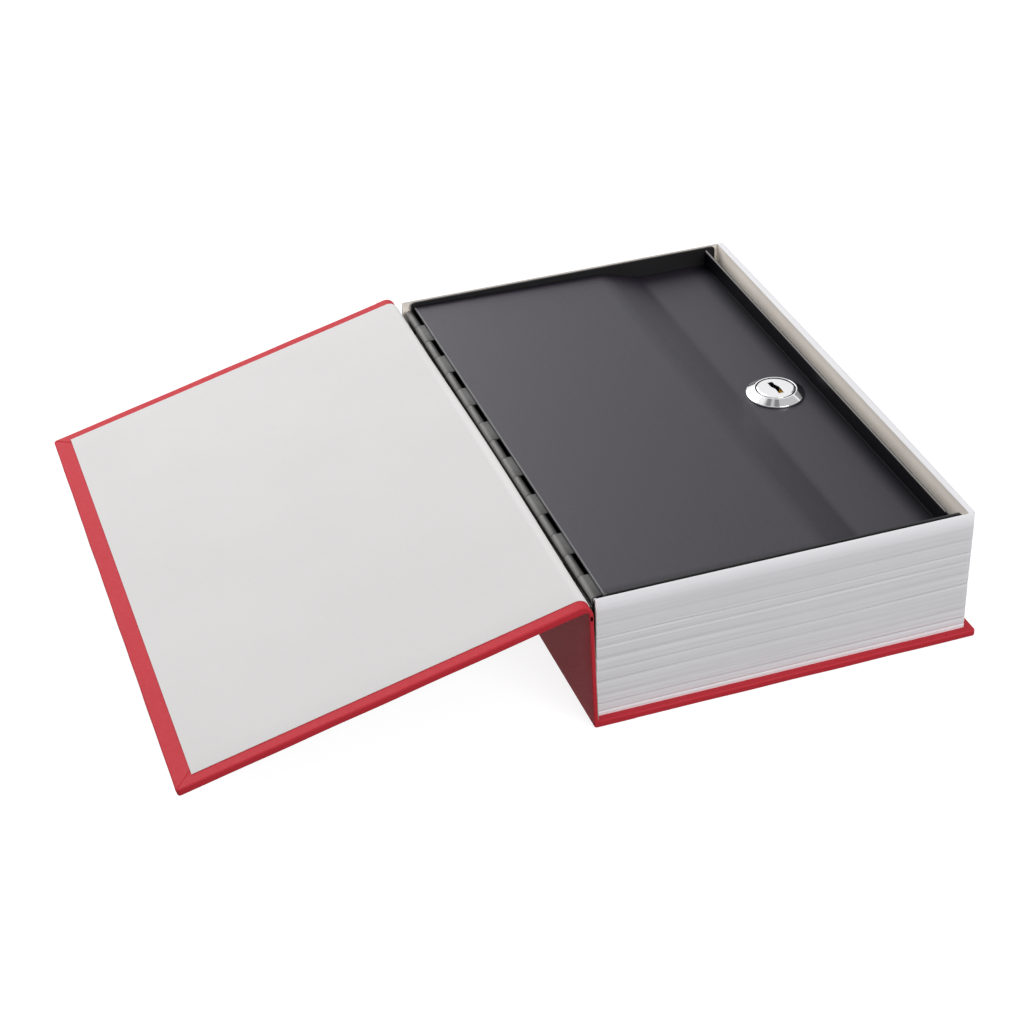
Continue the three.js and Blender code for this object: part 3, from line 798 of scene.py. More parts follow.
def board_loop(x0, x1, y0, y1, inset, corner, lift):
    """One closed loop round a board at an inset. lift(corner index, step) raises its corners."""
    radius = max(corner - inset, LEAST_CORNER)
    reach = inset + radius
    turns = []
    for index, (x, y) in enumerate(((x0, y0), (x1, y0), (x1, y1), (x0, y1))):
        centre_x = x + (reach if index in (0, 3) else -reach)
        centre_y = y + (reach if index in (0, 1) else -reach)
        start = 180 + 90 * index
        turn = arc(centre_x, centre_y, radius, start, start + 90, CORNER_STEPS)
        turns.append([(*spot, lift(index, step)) for step, spot in enumerate(turn)])
    loop = []
    for index, turn in enumerate(turns):
        parts = END_PARTS if index in (0, 2) else SIDE_PARTS
        ends = [spot[:2] + (0.0,) for spot in (turn[-1], turns[(index + 1) % 4][0])]
        loop += turn + stretch(*ends, parts)[:-1]
    return loop


def pleat(inset, step, rounding):
    """How far the covering stands up at a corner of the inside face: pleats, then a mitre."""
    if inset < rounding:
        return PLEAT_LOW if step in PLEAT_STEPS else PLEAT_HIGH
    if inset > TURN_IN:
        return 0.0
    before_mitre = CORNER_STEPS // 2 - step
    return MITRE_RELIEF.get(before_mitre, FOLD_HIGH if before_mitre > 0 else 0.0)


def covered_board(x0, x1, y0, y1, low, high, rounding, mitred, place):
    """A board wrapped in its covering, with pleats at its corners and mitred turn-ins."""
    edge = quarter_round(rounding, EDGE_STEPS)
    rings = [(inset, low, False) for inset in UNDERSIDE_INSETS]
    rings += [(short, low + along, False) for along, short in edge]
    rings += [(along, high - short, True) for along, short in edge]
    rings += [(inset, high, True) for inset in INSIDE_INSETS]
    middle_x, middle_y = (x0 + x1) / 2, (y0 + y1) / 2
    loops = []
    for inset, z, inner in rings:

        def lift(index, step):
            return pleat(inset, step, rounding) if inner and index in mitred else 0.0

        loop = []
        for x, y, raised in board_loop(x0, x1, y0, y1, inset, COVER_CORNER, lift):
            fade = max(0.0, 1 - inset / DRIFT_REACH)
            waves = math.sin(x / 7.1 + y / 9.3) + math.sin(y / 4.3 - x / 5.7)
            drift = fade * CLOTH_DRIFT * waves
            away = Vector((x - middle_x, y - middle_y)).normalized()
            loop.append(place(x + away.x * drift, y + away.y * drift, z + raised))
        loops.append(loop)
    return lofted(loops)


def spine_and_foot(back):
    """Outline of the spine's covering and the part of it that runs under the back board."""
    outline = [(FOOT_WIDTH, 0.01), (FOOT_START, 0.01)]
    outline += arc(0.8, 1.21, FOOT_ROUND, 270, 180 - math.degrees(SPINE_LEAN), 8)
    outline += stretch(outline[-1], up_spine(-0.02, SPINE_STRIP_TOP), 10)
    outline += stretch(outline[-1], up_spine(STRIP_INSIDE, SPINE_STRIP_TOP), 3)
    outline += stretch(outline[-1], up_spine(STRIP_OVER_BOARD, back + 1.2), 10)
    outline += arc(up_spine(STRIP_OVER_BOARD, 0)[0] + 1.0, back + 1.0, 1.0, 180, 270, 4)[1:]
    outline += [(FOOT_WIDTH, back - 0.01)]
    return outline


class BOOKSAFE_OT_case_covering(Step, bpy.types.Operator):
    """Makes the covering of the back cover and the spine"""

    bl_idname = "book_safe.case_covering"
    bl_label = "Case covering"

    def make(self, sizes):
        back_top, rounding = mm(sizes.back_thickness), mm(sizes.edge_rounding)
        back = covered_board(BACK_INNER, WIDTH, 0.0, LENGTH, 0.0, back_top, rounding, (1, 2), at)
        spine = bar(spine_and_foot(back_top), 0.0, LENGTH, CLOTH_EASE)
        piece = new_piece("case_cloth", *merged(back, spine), MADE["covering"])
        settle(piece, "case", "red_covering", "case_covering")


class BOOKSAFE_OT_front_covering(Step, bpy.types.Operator):
    """Makes the front cover's covering with its mitred corners"""

    bl_idname = "book_safe.front_covering"
    bl_label = "Front covering"

    def make(self, sizes):
        def place(u, y, w):
            flat_x, flat_z = on_cover(u, w)
            x, z = bowed(flat_x, y, flat_z)
            return at(x, y, z)

        width, rounding = mm(sizes.cover_width), mm(sizes.edge_rounding)
        faces_at = (COVER_UNDER, COVER_OVER)
        shape = covered_board(-width, COVER_INNER, 0.0, LENGTH, *faces_at, rounding, (0, 3), place)
        piece = new_piece("front_cloth", *shape, MADE["covering"])
        settle(piece, "cover", "red_covering", "front_covering")


def bowed(x, y, z):
    """Draws the middle of the cover's hinge side towards the lid, and lifts its far end."""
    bow = BOW_LEAST + BOW_MORE * math.cos(math.pi * (y - BOW_MIDDLE) / BOW_HALF_WAVE)
    free = max(eased(z, *FREE_HEIGHTS), eased(-x, *FREE_REACHES))
    lift = END_LIFT * (y / LENGTH - 0.5)
    return x + bow * free * eased(x, *BOW_FADE), z + lift * free


def elbow_centre(radius):
    """Centre of the elbow that turns from the cover's inner face down the spine's."""
    below, behind = on_cover(0.0, -0.28 - radius), up_spine(SPINE_INSIDE - radius, 0.0)
    return meeting(below, COVER_WAY, behind, SPINE_WAY)


def joint_outline(radius):
    """Outline of the cloth joint: up the spine, over the elbow and along the cover."""
    lean, slope = math.degrees(SPINE_LEAN), math.degrees(COVER_SLOPE)
    inner = [up_spine(SPINE_INSIDE, JOINT_FOOT)]
    turn = arc(*elbow_centre(radius), radius, lean, 90 + slope, 14)
    inner += stretch(inner[0], turn[0], 4) + turn[1:]
    inner += stretch(turn[-1], on_cover(JOINT_REACH, -0.31), 3)
    crease = meeting(on_cover(0.0, -4.27), COVER_WAY, up_spine(-1.05, 0.0), SPINE_WAY)
    outer = [on_cover(JOINT_REACH, -3.24)] + arc(*crease, 1.0, 90 + slope, lean, 8)
    outer += stretch(outer[-1], up_spine(-0.05, JOINT_FOOT), 4)
    return inner + outer


PAPER, PAPER_FORE_MARGIN, PAPER_END_MARGIN = 0.24, 7.1, 4.7


class BOOKSAFE_OT_cloth_joint(Step, bpy.types.Operator):
    """Makes the cloth joint that bends between the spine and the front cover"""

    bl_idname = "book_safe.cloth_joint"
    bl_label = "Cloth joint"

    def make(self, sizes):
        outline = joint_outline(mm(sizes.elbow_radius))
        shape = bar(outline, 0.0, LENGTH, CLOTH_EASE, pitch=6.0, shift=bowed)
        piece = new_piece("joint_cloth", *shape, MADE["covering"])
        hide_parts("front_joint")
        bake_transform(piece)


class BOOKSAFE_OT_endpaper(Step, bpy.types.Operator):
    """Makes the endpaper, which is pasted over the cover's inner face, the elbow and the spine"""

    bl_idname = "book_safe.endpaper"
    bl_label = "Endpaper"

    def make(self, sizes):
        radius = mm(sizes.elbow_radius)
        lean, slope = math.degrees(SPINE_LEAN), math.degrees(COVER_SLOPE)
        turn = arc(*elbow_centre(radius), radius + 0.27, 90 + slope, lean, 14)
        path = [on_cover(PAPER_FORE_MARGIN - mm(sizes.cover_width), 0.0)]
        path += stretch(path[0], on_cover(-30.0, 0.0), 12)
        path += stretch(path[-1], turn[0], 12) + turn[1:]
        path += stretch(turn[-1], up_spine(1.87, 49.5), 3)
        near, far = PAPER_END_MARGIN, LENGTH - PAPER_END_MARGIN
        shape = bar(thickened(path, PAPER), near, far, 0.08, steps=2, shift=bowed)
        piece = new_piece("endpaper_sheet", *shape, MADE["endpaper"])
        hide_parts("front_endpaper")
        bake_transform(piece)


# Page block

PAGE_ROWS, PAGE_EDGE, PAGE_LIP = 215, 0.25, 0.1
END_WALL, FORE_WALL = 1.3, 2.9
BLOCK_CORNER, BLOCK_START = 1.5, 1.75
FOOT_GROOVE, GROOVE_UP, GROOVE_HALF = 0.4, 1.6, 0.4
END_LEAN, LEAN_REACH = 0.9, 6.5
FORE_HOLLOW, FORE_BOW, FORE_CALM = 0.3, 0.7, 0.55
GROOVE_ABRUPT, GROOVE_GENTLE = 0.085, 0.2

# Shares of the page grooves, and how far below the top each fades in
PAGE_FADES = ((0.45, 3.5, 7.0), (0.55, 9.0, 16.0))


class Tree:
    """A geometry node tree under construction."""

    def __init__(self, name, *inputs):
        self.group = bpy.data.node_groups.new(name, "GeometryNodeTree")
        face = self.group.interface
        face.new_socket(name="Geometry", in_out="INPUT", socket_type="NodeSocketGeometry")
        for label, kind in inputs:
            face.new_socket(name=label, in_out="INPUT", socket_type=kind)
        face.new_socket(name="Geometry", in_out="OUTPUT", socket_type="NodeSocketGeometry")
        self.given = self.group.nodes.new("NodeGroupInput").outputs
        self.result = self.group.nodes.new("NodeGroupOutput").inputs

    def node(self, kind, settings=None, **values):
        """Adds a node. Values are its sockets by name, or n0, n1 by number."""
        made = self.group.nodes.new(kind)
        for key, value in (settings or {}).items():
            setattr(made, key, value)
        for key, value in values.items():
            self.give(value, made.inputs[int(key[1:]) if key in {"n0", "n1"} else key])
        return made.outputs

    def give(self, value, socket):
        """Links a socket, or sets a plain value."""
        if isinstance(value, bpy.types.NodeSocket):
            self.group.links.new(value, socket)
        else:
            socket.default_value = value

    def math(self, operation, a, b=0.0):
        """One sum of two values or sockets."""
        return self.node("ShaderNodeMath", {"operation": operation}, n0=a, n1=b)[0]

    def plus(self, a, b):
        return self.math("ADD", a, b)

    def minus(self, a, b):
        return self.math("SUBTRACT", a, b)

    def times(self, a, b):
        return self.math("MULTIPLY", a, b)

    def over(self, a, b):
        return self.math("DIVIDE", a, b)

    def finished(self, shape, *looks):
        """Makes instances real, gives them their finishes and hands the result out."""
        shape = self.node("GeometryNodeRealizeInstances", Geometry=shape)[0]
        for look in looks:
            shape = self.node("GeometryNodeSetMaterial", Geometry=shape, **look)[0]
        self.give(shape, self.result["Geometry"])
        return self

    def named(self, name, kind):
        """A value that the piece keeps under this name."""
        return self.node("GeometryNodeInputNamedAttribute", {"data_type": kind}, Name=name)[0]


def run_tree(piece, tree, **values):
    """Runs a tree on a piece and keeps the result as a plain mesh."""
    change = piece.modifiers.new(tree.group.name, "NODES")
    change.node_group = tree.group
    for item in tree.group.interface.items_tree:
        key = item.name.replace(" ", "_")
        if item.in_out == "INPUT" and key in values:
            change[item.identifier] = values[key]
    evaluated(piece)


def page_tree():
    """Lays wandering page grooves on a skin that knows its way along, out and how much."""
    tree = Tree(
        "Page grooves",
        ("Depth", "NodeSocketFloat"),
        ("Pitch", "NodeSocketFloat"),
        ("Waver", "NodeSocketFloat"),
        ("Seed", "NodeSocketInt"),
        ("Finish", "NodeSocketMaterial"),
        ("Inside finish", "NodeSocketMaterial"),
    )
    depth, pitch = tree.given["Depth"], tree.given["Pitch"]
    along = tree.named("along", "FLOAT")
    height = tree.node(
        "ShaderNodeSeparateXYZ", Vector=tree.node("GeometryNodeInputPosition")[0]
    )[2]

    def field(along_size, across, offset, detail=2.0):
        """Noise about a half, drawn out along the pages."""
        place = tree.node(
            "ShaderNodeCombineXYZ",
            X=tree.over(along, along_size),
            Y=across,
            Z=tree.plus(tree.given["Seed"], offset),
        )[0]
        return tree.node("ShaderNodeTexNoise", Vector=place, Scale=1.0, Detail=detail)[0]

    def groove(level):
        """A groove at every half level: gentle below its line and abrupt above it."""
        off = tree.minus(tree.math("FRACT", level), 0.5)
        above = tree.over(tree.math("MAXIMUM", off, 0.0), GROOVE_ABRUPT)
        below = tree.over(tree.math("MINIMUM", off, 0.0), GROOVE_GENTLE)
        reach = tree.plus(above, below)
        return tree.math("EXPONENT", tree.times(tree.times(reach, reach), -1.0))

    def strength(level, share, offset):
        """How deep each groove is, which changes along it and from one to the next."""
        line = tree.times(tree.math("FLOOR", level), 7.3)
        some = tree.minus(field(0.09, line, offset), 0.28)
        return tree.times(tree.math("MAXIMUM", some, 0.0), share)

    drift = tree.minus(field(0.062, tree.over(height, 0.02), 0.0), 0.5)
    drift = tree.times(drift, tree.given["Waver"])
    spread = tree.minus(field(0.9, tree.over(height, 0.0075), 11.3, 1.0), 0.5)
    spread = tree.times(spread, tree.times(pitch, 1.1))
    level = tree.over(tree.plus(height, tree.plus(drift, spread)), pitch)
    fine = tree.plus(tree.times(level, 2.7), 0.31)
    main = tree.times(groove(level), strength(level, 3.6, 5.7))
    lesser = tree.times(groove(fine), strength(fine, 1.1, 2.9))
    soft = tree.minus(field(0.06, tree.over(height, 0.0024), 8.1), 0.5)
    relief = tree.plus(tree.plus(main, lesser), tree.times(soft, 0.5))
    inwards = tree.times(relief, tree.times(tree.named("page_share", "FLOAT"), depth))
    offset = tree.node(
        "ShaderNodeVectorMath",
        {"operation": "SCALE"},
        n0=tree.named("out", "FLOAT_VECTOR"),
        Scale=tree.times(inwards, -1.0),
    )[0]
    moved = tree.node("GeometryNodeSetPosition", Geometry=tree.given["Geometry"], Offset=offset)[0]
    inside = tree.named("inner_face", "BOOLEAN")
    return tree.finished(
        moved,
        {"Material": tree.given["Finish"]},
        {"Selection": inside, "Material": tree.given["Inside finish"]},
    )


def block_path():
    """Stations round the page block's walls: x, y and the way out."""
    fore, near, far = BLOCK_FORE, BLOCK_NEAR, LENGTH - BLOCK_NEAR
    corner = BLOCK_CORNER
    stations = []

    def wall(start, end, out, pitch):
        parts = round(math.dist(start, end) / pitch)
        stations.extend((*spot, out) for spot in [start] + stretch(start, end, parts))

    def bend(x, y, start):
        for step in range(1, 6):
            angle = math.radians(start + 90 * step / 6)
            way = (math.cos(angle), math.sin(angle))
            stations.append((x + corner * way[0], y + corner * way[1], way))

    wall((BLOCK_START, near), (fore - corner, near), (0, -1), 2.0)
    bend(fore - corner, near + corner, 270)
    wall((fore, near + corner), (fore, far - corner), (1, 0), 2.2)
    bend(fore - corner, far - corner, 0)
    wall((fore - corner, far), (BLOCK_START, far), (0, 1), 2.0)
    return stations


def block_inset(y, way, z, low, top):
    """How far a wall of the block stands back from its outermost plane."""
    middle, half = (low + top) / 2, (top - low) / 2
    foot = FOOT_GROOVE * max(0.0, 1 - ((z - low - GROOVE_UP) / GROOVE_HALF) ** 2)
    lean = END_LEAN * max(0.0, (z - top + LEAN_REACH) / LEAN_REACH) ** 2 * abs(way[1])
    hollow = FORE_HOLLOW * (1 - ((z - middle) / half) ** 2)
    bow = FORE_BOW * ((y - HALF_LENGTH) / HALF_LENGTH) ** 2 - FORE_HOLLOW
    return foot + lean + (hollow + bow) * max(way[0], 0.0)


def page_share(z, low, top):
    """How strongly the page grooves show at a height: not at all near the top."""
    share = sum(part * eased(top - z, start, end) for part, start, end in PAGE_FADES)
    return share * min(1.0, max(0.0, (z - low - 1.2) / 0.6))


class BOOKSAFE_OT_page_block(Step, bpy.types.Operator):
    """Makes the moulded page block and lays its page ridges with a node tree"""

    bl_idname = "book_safe.page_block"
    bl_label = "Page block"

    def make(self, sizes):
        low, top = mm(sizes.back_thickness), BLOCK_TOP
        rows = [low + (top - PAGE_EDGE - low) * i / PAGE_ROWS for i in range(PAGE_ROWS + 1)]
        loops, along_values, shares, outs = [], [], [], []
        distance, last = 0.0, None
        for x, y, way in block_path():
            if last:
                distance += math.dist(last, (x, y))
            last = (x, y)
            inner_x = min(x, BLOCK_FORE - FORE_WALL)
            inner_y = min(max(y, BLOCK_NEAR + END_WALL), LENGTH - BLOCK_NEAR - END_WALL)
            calm = 1 - FORE_CALM * max(way[0], 0.0)
            inset = block_inset(y, way, top, low, top)
            skin = [(block_inset(y, way, z, low, top), z) for z in rows]
            skin += [
                (inset + PAGE_EDGE * (1 - math.cos(a)), top - PAGE_EDGE + PAGE_EDGE * math.sin(a))
                for a in quarter_turn(3)[1:]
            ]
            loop = [(x - way[0] * inwards, y - way[1] * inwards, z) for inwards, z in skin]
            pull = Vector((inner_x - x, inner_y - y)).normalized() * PAGE_LIP
            loop.append((inner_x - pull.x, inner_y - pull.y, top))
            loop += [(inner_x, inner_y, top - PAGE_LIP), (inner_x, inner_y, low)]
            shares += [calm * page_share(z, low, top) for z in rows]
            shares += [0.0] * (len(loop) - len(rows))
            along_values += [distance / 1000] * len(loop)
            outs += [way[0], way[1], 0.0] * len(loop)
            loops.append([at(*point) for point in loop])
        points, faces = lofted(loops)
        mesh = bpy.data.meshes.new("page_moulding")
        mesh.from_pydata(points, [], faces)
        count = len(loops[0])
        inner_faces = [
            {vertex % count for vertex in face.vertices} == {count - 2, count - 1}
            for face in mesh.polygons
        ]
        for name, kind, part, key, values in (
            ("along", "FLOAT", "POINT", "value", along_values),
            ("page_share", "FLOAT", "POINT", "value", shares),
            ("out", "FLOAT_VECTOR", "POINT", "vector", outs),
            ("inner_face", "BOOLEAN", "FACE", "value", inner_faces),
        ):
            mesh.attributes.new(name, kind, part).data.foreach_set(key, values)
        piece = placed("page_moulding", mesh)
        run_tree(
            piece,
            page_tree(),
            Depth=sizes.page_depth,
            Pitch=sizes.page_pitch,
            Waver=sizes.page_waver,
            Seed=sizes.page_seed,
            Finish=MADE["pages"],
            Inside_finish=MADE["pages_inside"],
        )
        shell = bmesh.new()
        shell.from_mesh(piece.data)
        bmesh.ops.recalc_face_normals(shell, faces=shell.faces)
        shell.to_mesh(piece.data)
        shell.free()
        soften_shading(piece.data, 50)
        settle(piece, "case", "page_plastic", "page_block")


# Steel box


class BOOKSAFE_OT_cash_box(Step, bpy.types.Operator):
    """Makes the folded steel tray and the tabs that the lid rests on"""

    bl_idname = "book_safe.cash_box"
    bl_label = "Cash box"

    def make(self, sizes):
        tray = eased_copy("steel_tray", "box_tray", MADE["powder"], 0.16)
        settle(tray, "case", "box_steel", "box_tray")
        for side in ("near", "far"):
            tab = eased_copy(f"tab_{side}", f"rest_tab_{side}", MADE["powder"], 0.12)
            settle(tab, "case", "box_steel", f"rest_tab_{side}")


# Piano hinge

LEAF, KNUCKLE_SHEET, KNUCKLE_GAP = 0.7, 0.6, 0.12
LID_TAB, LID_ROLL, LID_LEAF_START, LID_LEAF_END = 3.6, 388, 3.1, 17.0
BOX_TAB, BOX_ROLL, BOX_LEAF_DROP, BOX_LEAF_FOOT = 2.6, -118, 0.3, 9.8
KNUCKLE_EASE, LEAF_EASE = 0.1, 0.12
PIN_TIP = ((0.0, 0.01), (0.0, 0.6), (0.08, 0.85), (0.25, 1.0))


def knuckle_tree():
    """Repeats one knuckle along the pin."""
    tree = Tree(
        "Knuckles in a row",
        ("Count", "NodeSocketInt"),
        ("Pitch", "NodeSocketFloat"),
        ("Finish", "NodeSocketMaterial"),
    )
    step = tree.node("ShaderNodeCombineXYZ", Y=tree.given["Pitch"])[0]
    line = tree.node("GeometryNodeMeshLine", Count=tree.given["Count"], Offset=step)[0]
    row = tree.node(
        "GeometryNodeInstanceOnPoints", Points=line, Instance=tree.given["Geometry"]
    )[0]
    return tree.finished(row, {"Material": tree.given["Finish"]})


def rolled(tab, start, end, radius, sheet):
    """Outline of a sheet that comes along a tab and rolls round the pin."""
    inner = radius - sheet
    outline = [tab[0]] + arc(PIN_X, PIN_Z, radius, start, end, 26)
    outline += arc(PIN_X, PIN_Z, inner, end, start, 26) + [tab[1]]
    return outline


class BOOKSAFE_OT_piano_hinge(Step, bpy.types.Operator):
    """Makes the hinge's two leaves, their rolled knuckles and the pin"""

    bl_idname = "book_safe.piano_hinge"
    bl_label = "Piano hinge"

    def make(self, sizes):
        radius, sheet = mm(sizes.knuckle_radius), KNUCKLE_SHEET
        count = sizes.knuckle_pairs
        pitch = (HINGE_END - HINGE_START) / (2 * count)
        tree = knuckle_tree()
        top, left = PIN_Z + radius, PIN_X - radius
        lid_tab = ((PIN_X + LID_TAB, top), (PIN_X + LID_TAB, top - sheet))
        lid_knuckle = rolled(lid_tab, 90, LID_ROLL, radius, sheet)
        box_tab = ((left, PIN_Z - BOX_TAB), (left + sheet, PIN_Z - BOX_TAB))
        box_knuckle = rolled(box_tab, 180, BOX_ROLL, radius, sheet)
        ends = (HINGE_START, HINGE_END)
        lid_plate = block(PIN_X + LID_LEAF_START, LID_LEAF_END, *ends, top - LEAF, top)
        heights = (PIN_Z - BOX_LEAF_FOOT, PIN_Z - radius - BOX_LEAF_DROP)
        box_plate = block(left, left + LEAF, *ends, *heights)
        leaves = (
            ("lid_leaf", "lid", "lid_hinge_leaf", lid_knuckle, lid_plate, 0),
            ("box_leaf", "case", "box_hinge_leaf", box_knuckle, box_plate, 1),
        )
        for name, body, node, outline, plate, first in leaves:
            start = HINGE_START + first * pitch + KNUCKLE_GAP
            end = start + pitch - 2 * KNUCKLE_GAP
            shape = bar(outline, start, end, KNUCKLE_EASE, pitch=40.0, steps=2)
            piece = new_piece(name, *shape, smooth=40)
            run_tree(piece, tree, Count=count, Pitch=2 * pitch / 1000, Finish=MADE["hinge"])
            extra = new_piece(name + "_plate", *plate)
            break_edges(extra, LEAF_EASE, 2, 30)
            joined(piece, extra)
            piece.data.materials.clear()
            piece.data.materials.append(MADE["hinge"])
            piece.data.polygons.foreach_set("material_index", [0] * len(piece.data.polygons))
            soften_shading(piece.data, 40)
            settle(piece, body, "hinge_steel", node)
        pin = [(HINGE_START + depth, r) for depth, r in PIN_TIP]
        pin += [(HINGE_END - depth, r) for depth, r in PIN_TIP[::-1]]
        loops = [[at(x, y, z) for x, z in arc(PIN_X, PIN_Z, r, 0, 345, 23)] for y, r in pin]
        piece = new_piece("pin", *lofted(loops), MADE["zinc"])
        settle(piece, "case", "plain_steel", "hinge_pin")


# Lid

LID_EDGE, RAMP_TOP, RAMP_FOOT = (6.5, 53.2), (93.7, 51.9), 111.1
LID_BENDS = (3.5, 1.6, 0.3)
FLANGE_HEIGHT, LOCK_HOLE = 7.4, 9.3
FLANGE_TRIM, TRIM_REACH = 1.4, 2.4
LID_END_EASE, LID_EDGE_EASE = 0.12, 0.22


class BOOKSAFE_OT_lid(Step, bpy.types.Operator):
    """Bends the lid from one sheet, with its ramp, its low plane and its front flange"""

    bl_idname = "book_safe.lid"
    bl_label = "Lid"

    def make(self, sizes):
        sheet = mm(sizes.lid_sheet)
        flange = FLANGE_OUT - sheet
        low_plane = FLANGE_TOP - FLANGE_HEIGHT
        corners = [
            LID_EDGE,
            RAMP_TOP,
            (RAMP_FOOT, low_plane),
            (flange, low_plane),
            (flange, FLANGE_TOP),
        ]
        path = bent_path(corners, LID_BENDS, 12)
        path = path[:1] + stretch(path[0], path[1], 12) + path[2:]
        shape = bar(thickened(path, sheet), LID_NEAR, LID_FAR, LID_END_EASE, pitch=12.0, steps=2)
        piece = new_piece("lid_sheet", *shape, MADE["lid"], smooth=30)
        ends = (LID_NEAR - 1, LID_NEAR + FLANGE_TRIM)
        trim = block(flange - TRIM_REACH, FLANGE_OUT + 1, *ends, low_plane + TRIM_REACH, 60)
        hole = [(0, low_plane - 3), (LOCK_HOLE, low_plane - 3), (LOCK_HOLE, 50), (0, 50)]
        carve(
            piece,
            new_piece("lid_trim", *trim),
            new_piece("lid_hole", *turned(hole, 48)),
            smooth=30,
        )
        soften_shading(piece.data, 60)
        break_edges(piece, LID_EDGE_EASE, 3, 50)
        settle(piece, "lid", "lid_steel", "lid_panel")


# Cam lock

# Radii of the bezel, its height, the height of its rim and how its corners are eased
BEZEL, BEZEL_FACE, BEZEL_BORE = 12.0, 8.8, 8.3
BEZEL_HEIGHT, BEZEL_RIM, BEZEL_EASE = 2.6, 0.75, 0.16
RECESS_IN, RECESS_OUT, RECESS_DEPTH, RECESS_EASE = 6.15, 8.35, 1.3, 0.05

# The barrel's radii and half width, and how its thread is drawn and runs out at its ends
BARREL, BARREL_FLAT, THREAD, BORE = 9.0, 8.0, 0.42, 6.95
THREAD_TURNS, THREAD_ROWS = 72, 8
RUN_IN, RUN_OUT, CHAMFER, CHAMFER_REACH = 0.6, 0.8, 0.25, 0.4

# The plug's shank and square tail, the radii of its head from below upwards, and its slots
PLUG, PLUG_EASE, TAIL = 6.0, 0.3, 0.5
TAIL_HALF, TAIL_LENGTH, TAIL_OVERLAP = 3.5, 1.8, 0.3
HEAD_DEPTH, HEAD_DOME = 1.2, 0.25
HEAD_UNDER, HEAD_RIM, HEAD_TOP, HEAD = 7.4, 7.75, 7.68, 7.5
KEYWAY_HALF, KEYWAY_END, KEYWAY_JOG, KEYWAY_DEPTH = 1.1, 4.7, 0.5, 16.5
WAFER_GAP, WAFER_REACH = 0.06, 7


def threaded_barrel(pitch, low, high):
    """The barrel's thread, cut away by its two flats."""
    loops = []
    rows = int((high - low) / pitch * THREAD_ROWS)
    for step in range(THREAD_TURNS):
        angle = 2 * math.pi * step / THREAD_TURNS
        loop = []
        for row in range(rows + 1):
            z = low + (high - low) * row / rows
            phase = (z / pitch + step / THREAD_TURNS) % 1.0
            crest = 1 - abs(2 * phase - 1)
            fade = min(1.0, (z - low) / RUN_IN, (high - z) / RUN_OUT)
            radius = BARREL - THREAD * (1 - crest) * max(fade, 0.0)
            radius -= CHAMFER * (1 - min(1, (z - low) / CHAMFER_REACH))
            x = max(-BARREL_FLAT, min(BARREL_FLAT, radius * math.cos(angle)))
            loop.append(at(LOCK_X + x, LOCK_Y + radius * math.sin(angle), z))
        bore_x, bore_y = BORE * math.cos(angle), BORE * math.sin(angle)
        loop += [at(LOCK_X + bore_x, LOCK_Y + bore_y, z) for z in (high, low)]
        loops.append(loop)
    loops.append(loops[0])
    return lofted(loops, caps=False)


def eased_profile(corners, reach, steps=3):
    """A closed profile with every corner eased by the same short reach."""
    ring = corners + corners[:2]
    path = bent_path([corners[-1]] + ring, [reach] * len(ring), steps)
    return path[1 : 1 + (steps + 1) * len(corners)]


def keyway_cutter():
    """The keyway's zigzag slot through the plug's face."""
    half, end, jog = KEYWAY_HALF, KEYWAY_END, KEYWAY_JOG
    outline = [
        (-half - jog, end),
        (-half - jog, end / 4),
        (-half, 0),
        (-half + jog, -end / 4),
        (-half + jog, -end),
        (half + jog, -end),
        (half + jog, 0),
        (half, end / 4),
        (half - jog, end / 2),
        (half - jog, end),
    ]
    levels = (FACE_Z - KEYWAY_DEPTH, FACE_Z + 1)
    rows = [[at(LOCK_X + x, LOCK_Y + y, z) for x, y in outline] for z in levels]
    return new_piece("keyway_cutter", *lofted(rows))


def wafer_cutters():
    """The slots across the plug that the wafers lie in."""
    cutters = []
    for node in WAFERS:
        low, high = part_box(node)
        x_sides = (low.x * 1000 + HALF_WIDTH - WAFER_GAP, high.x * 1000 + HALF_WIDTH + WAFER_GAP)
        z_sides = (low.z * 1000 - WAFER_GAP, high.z * 1000 + WAFER_GAP)
        slot = block(*x_sides, LOCK_Y - WAFER_REACH, LOCK_Y + WAFER_REACH, *z_sides)
        cutters.append(new_piece(node + "_slot_cutter", *slot))
    return cutters


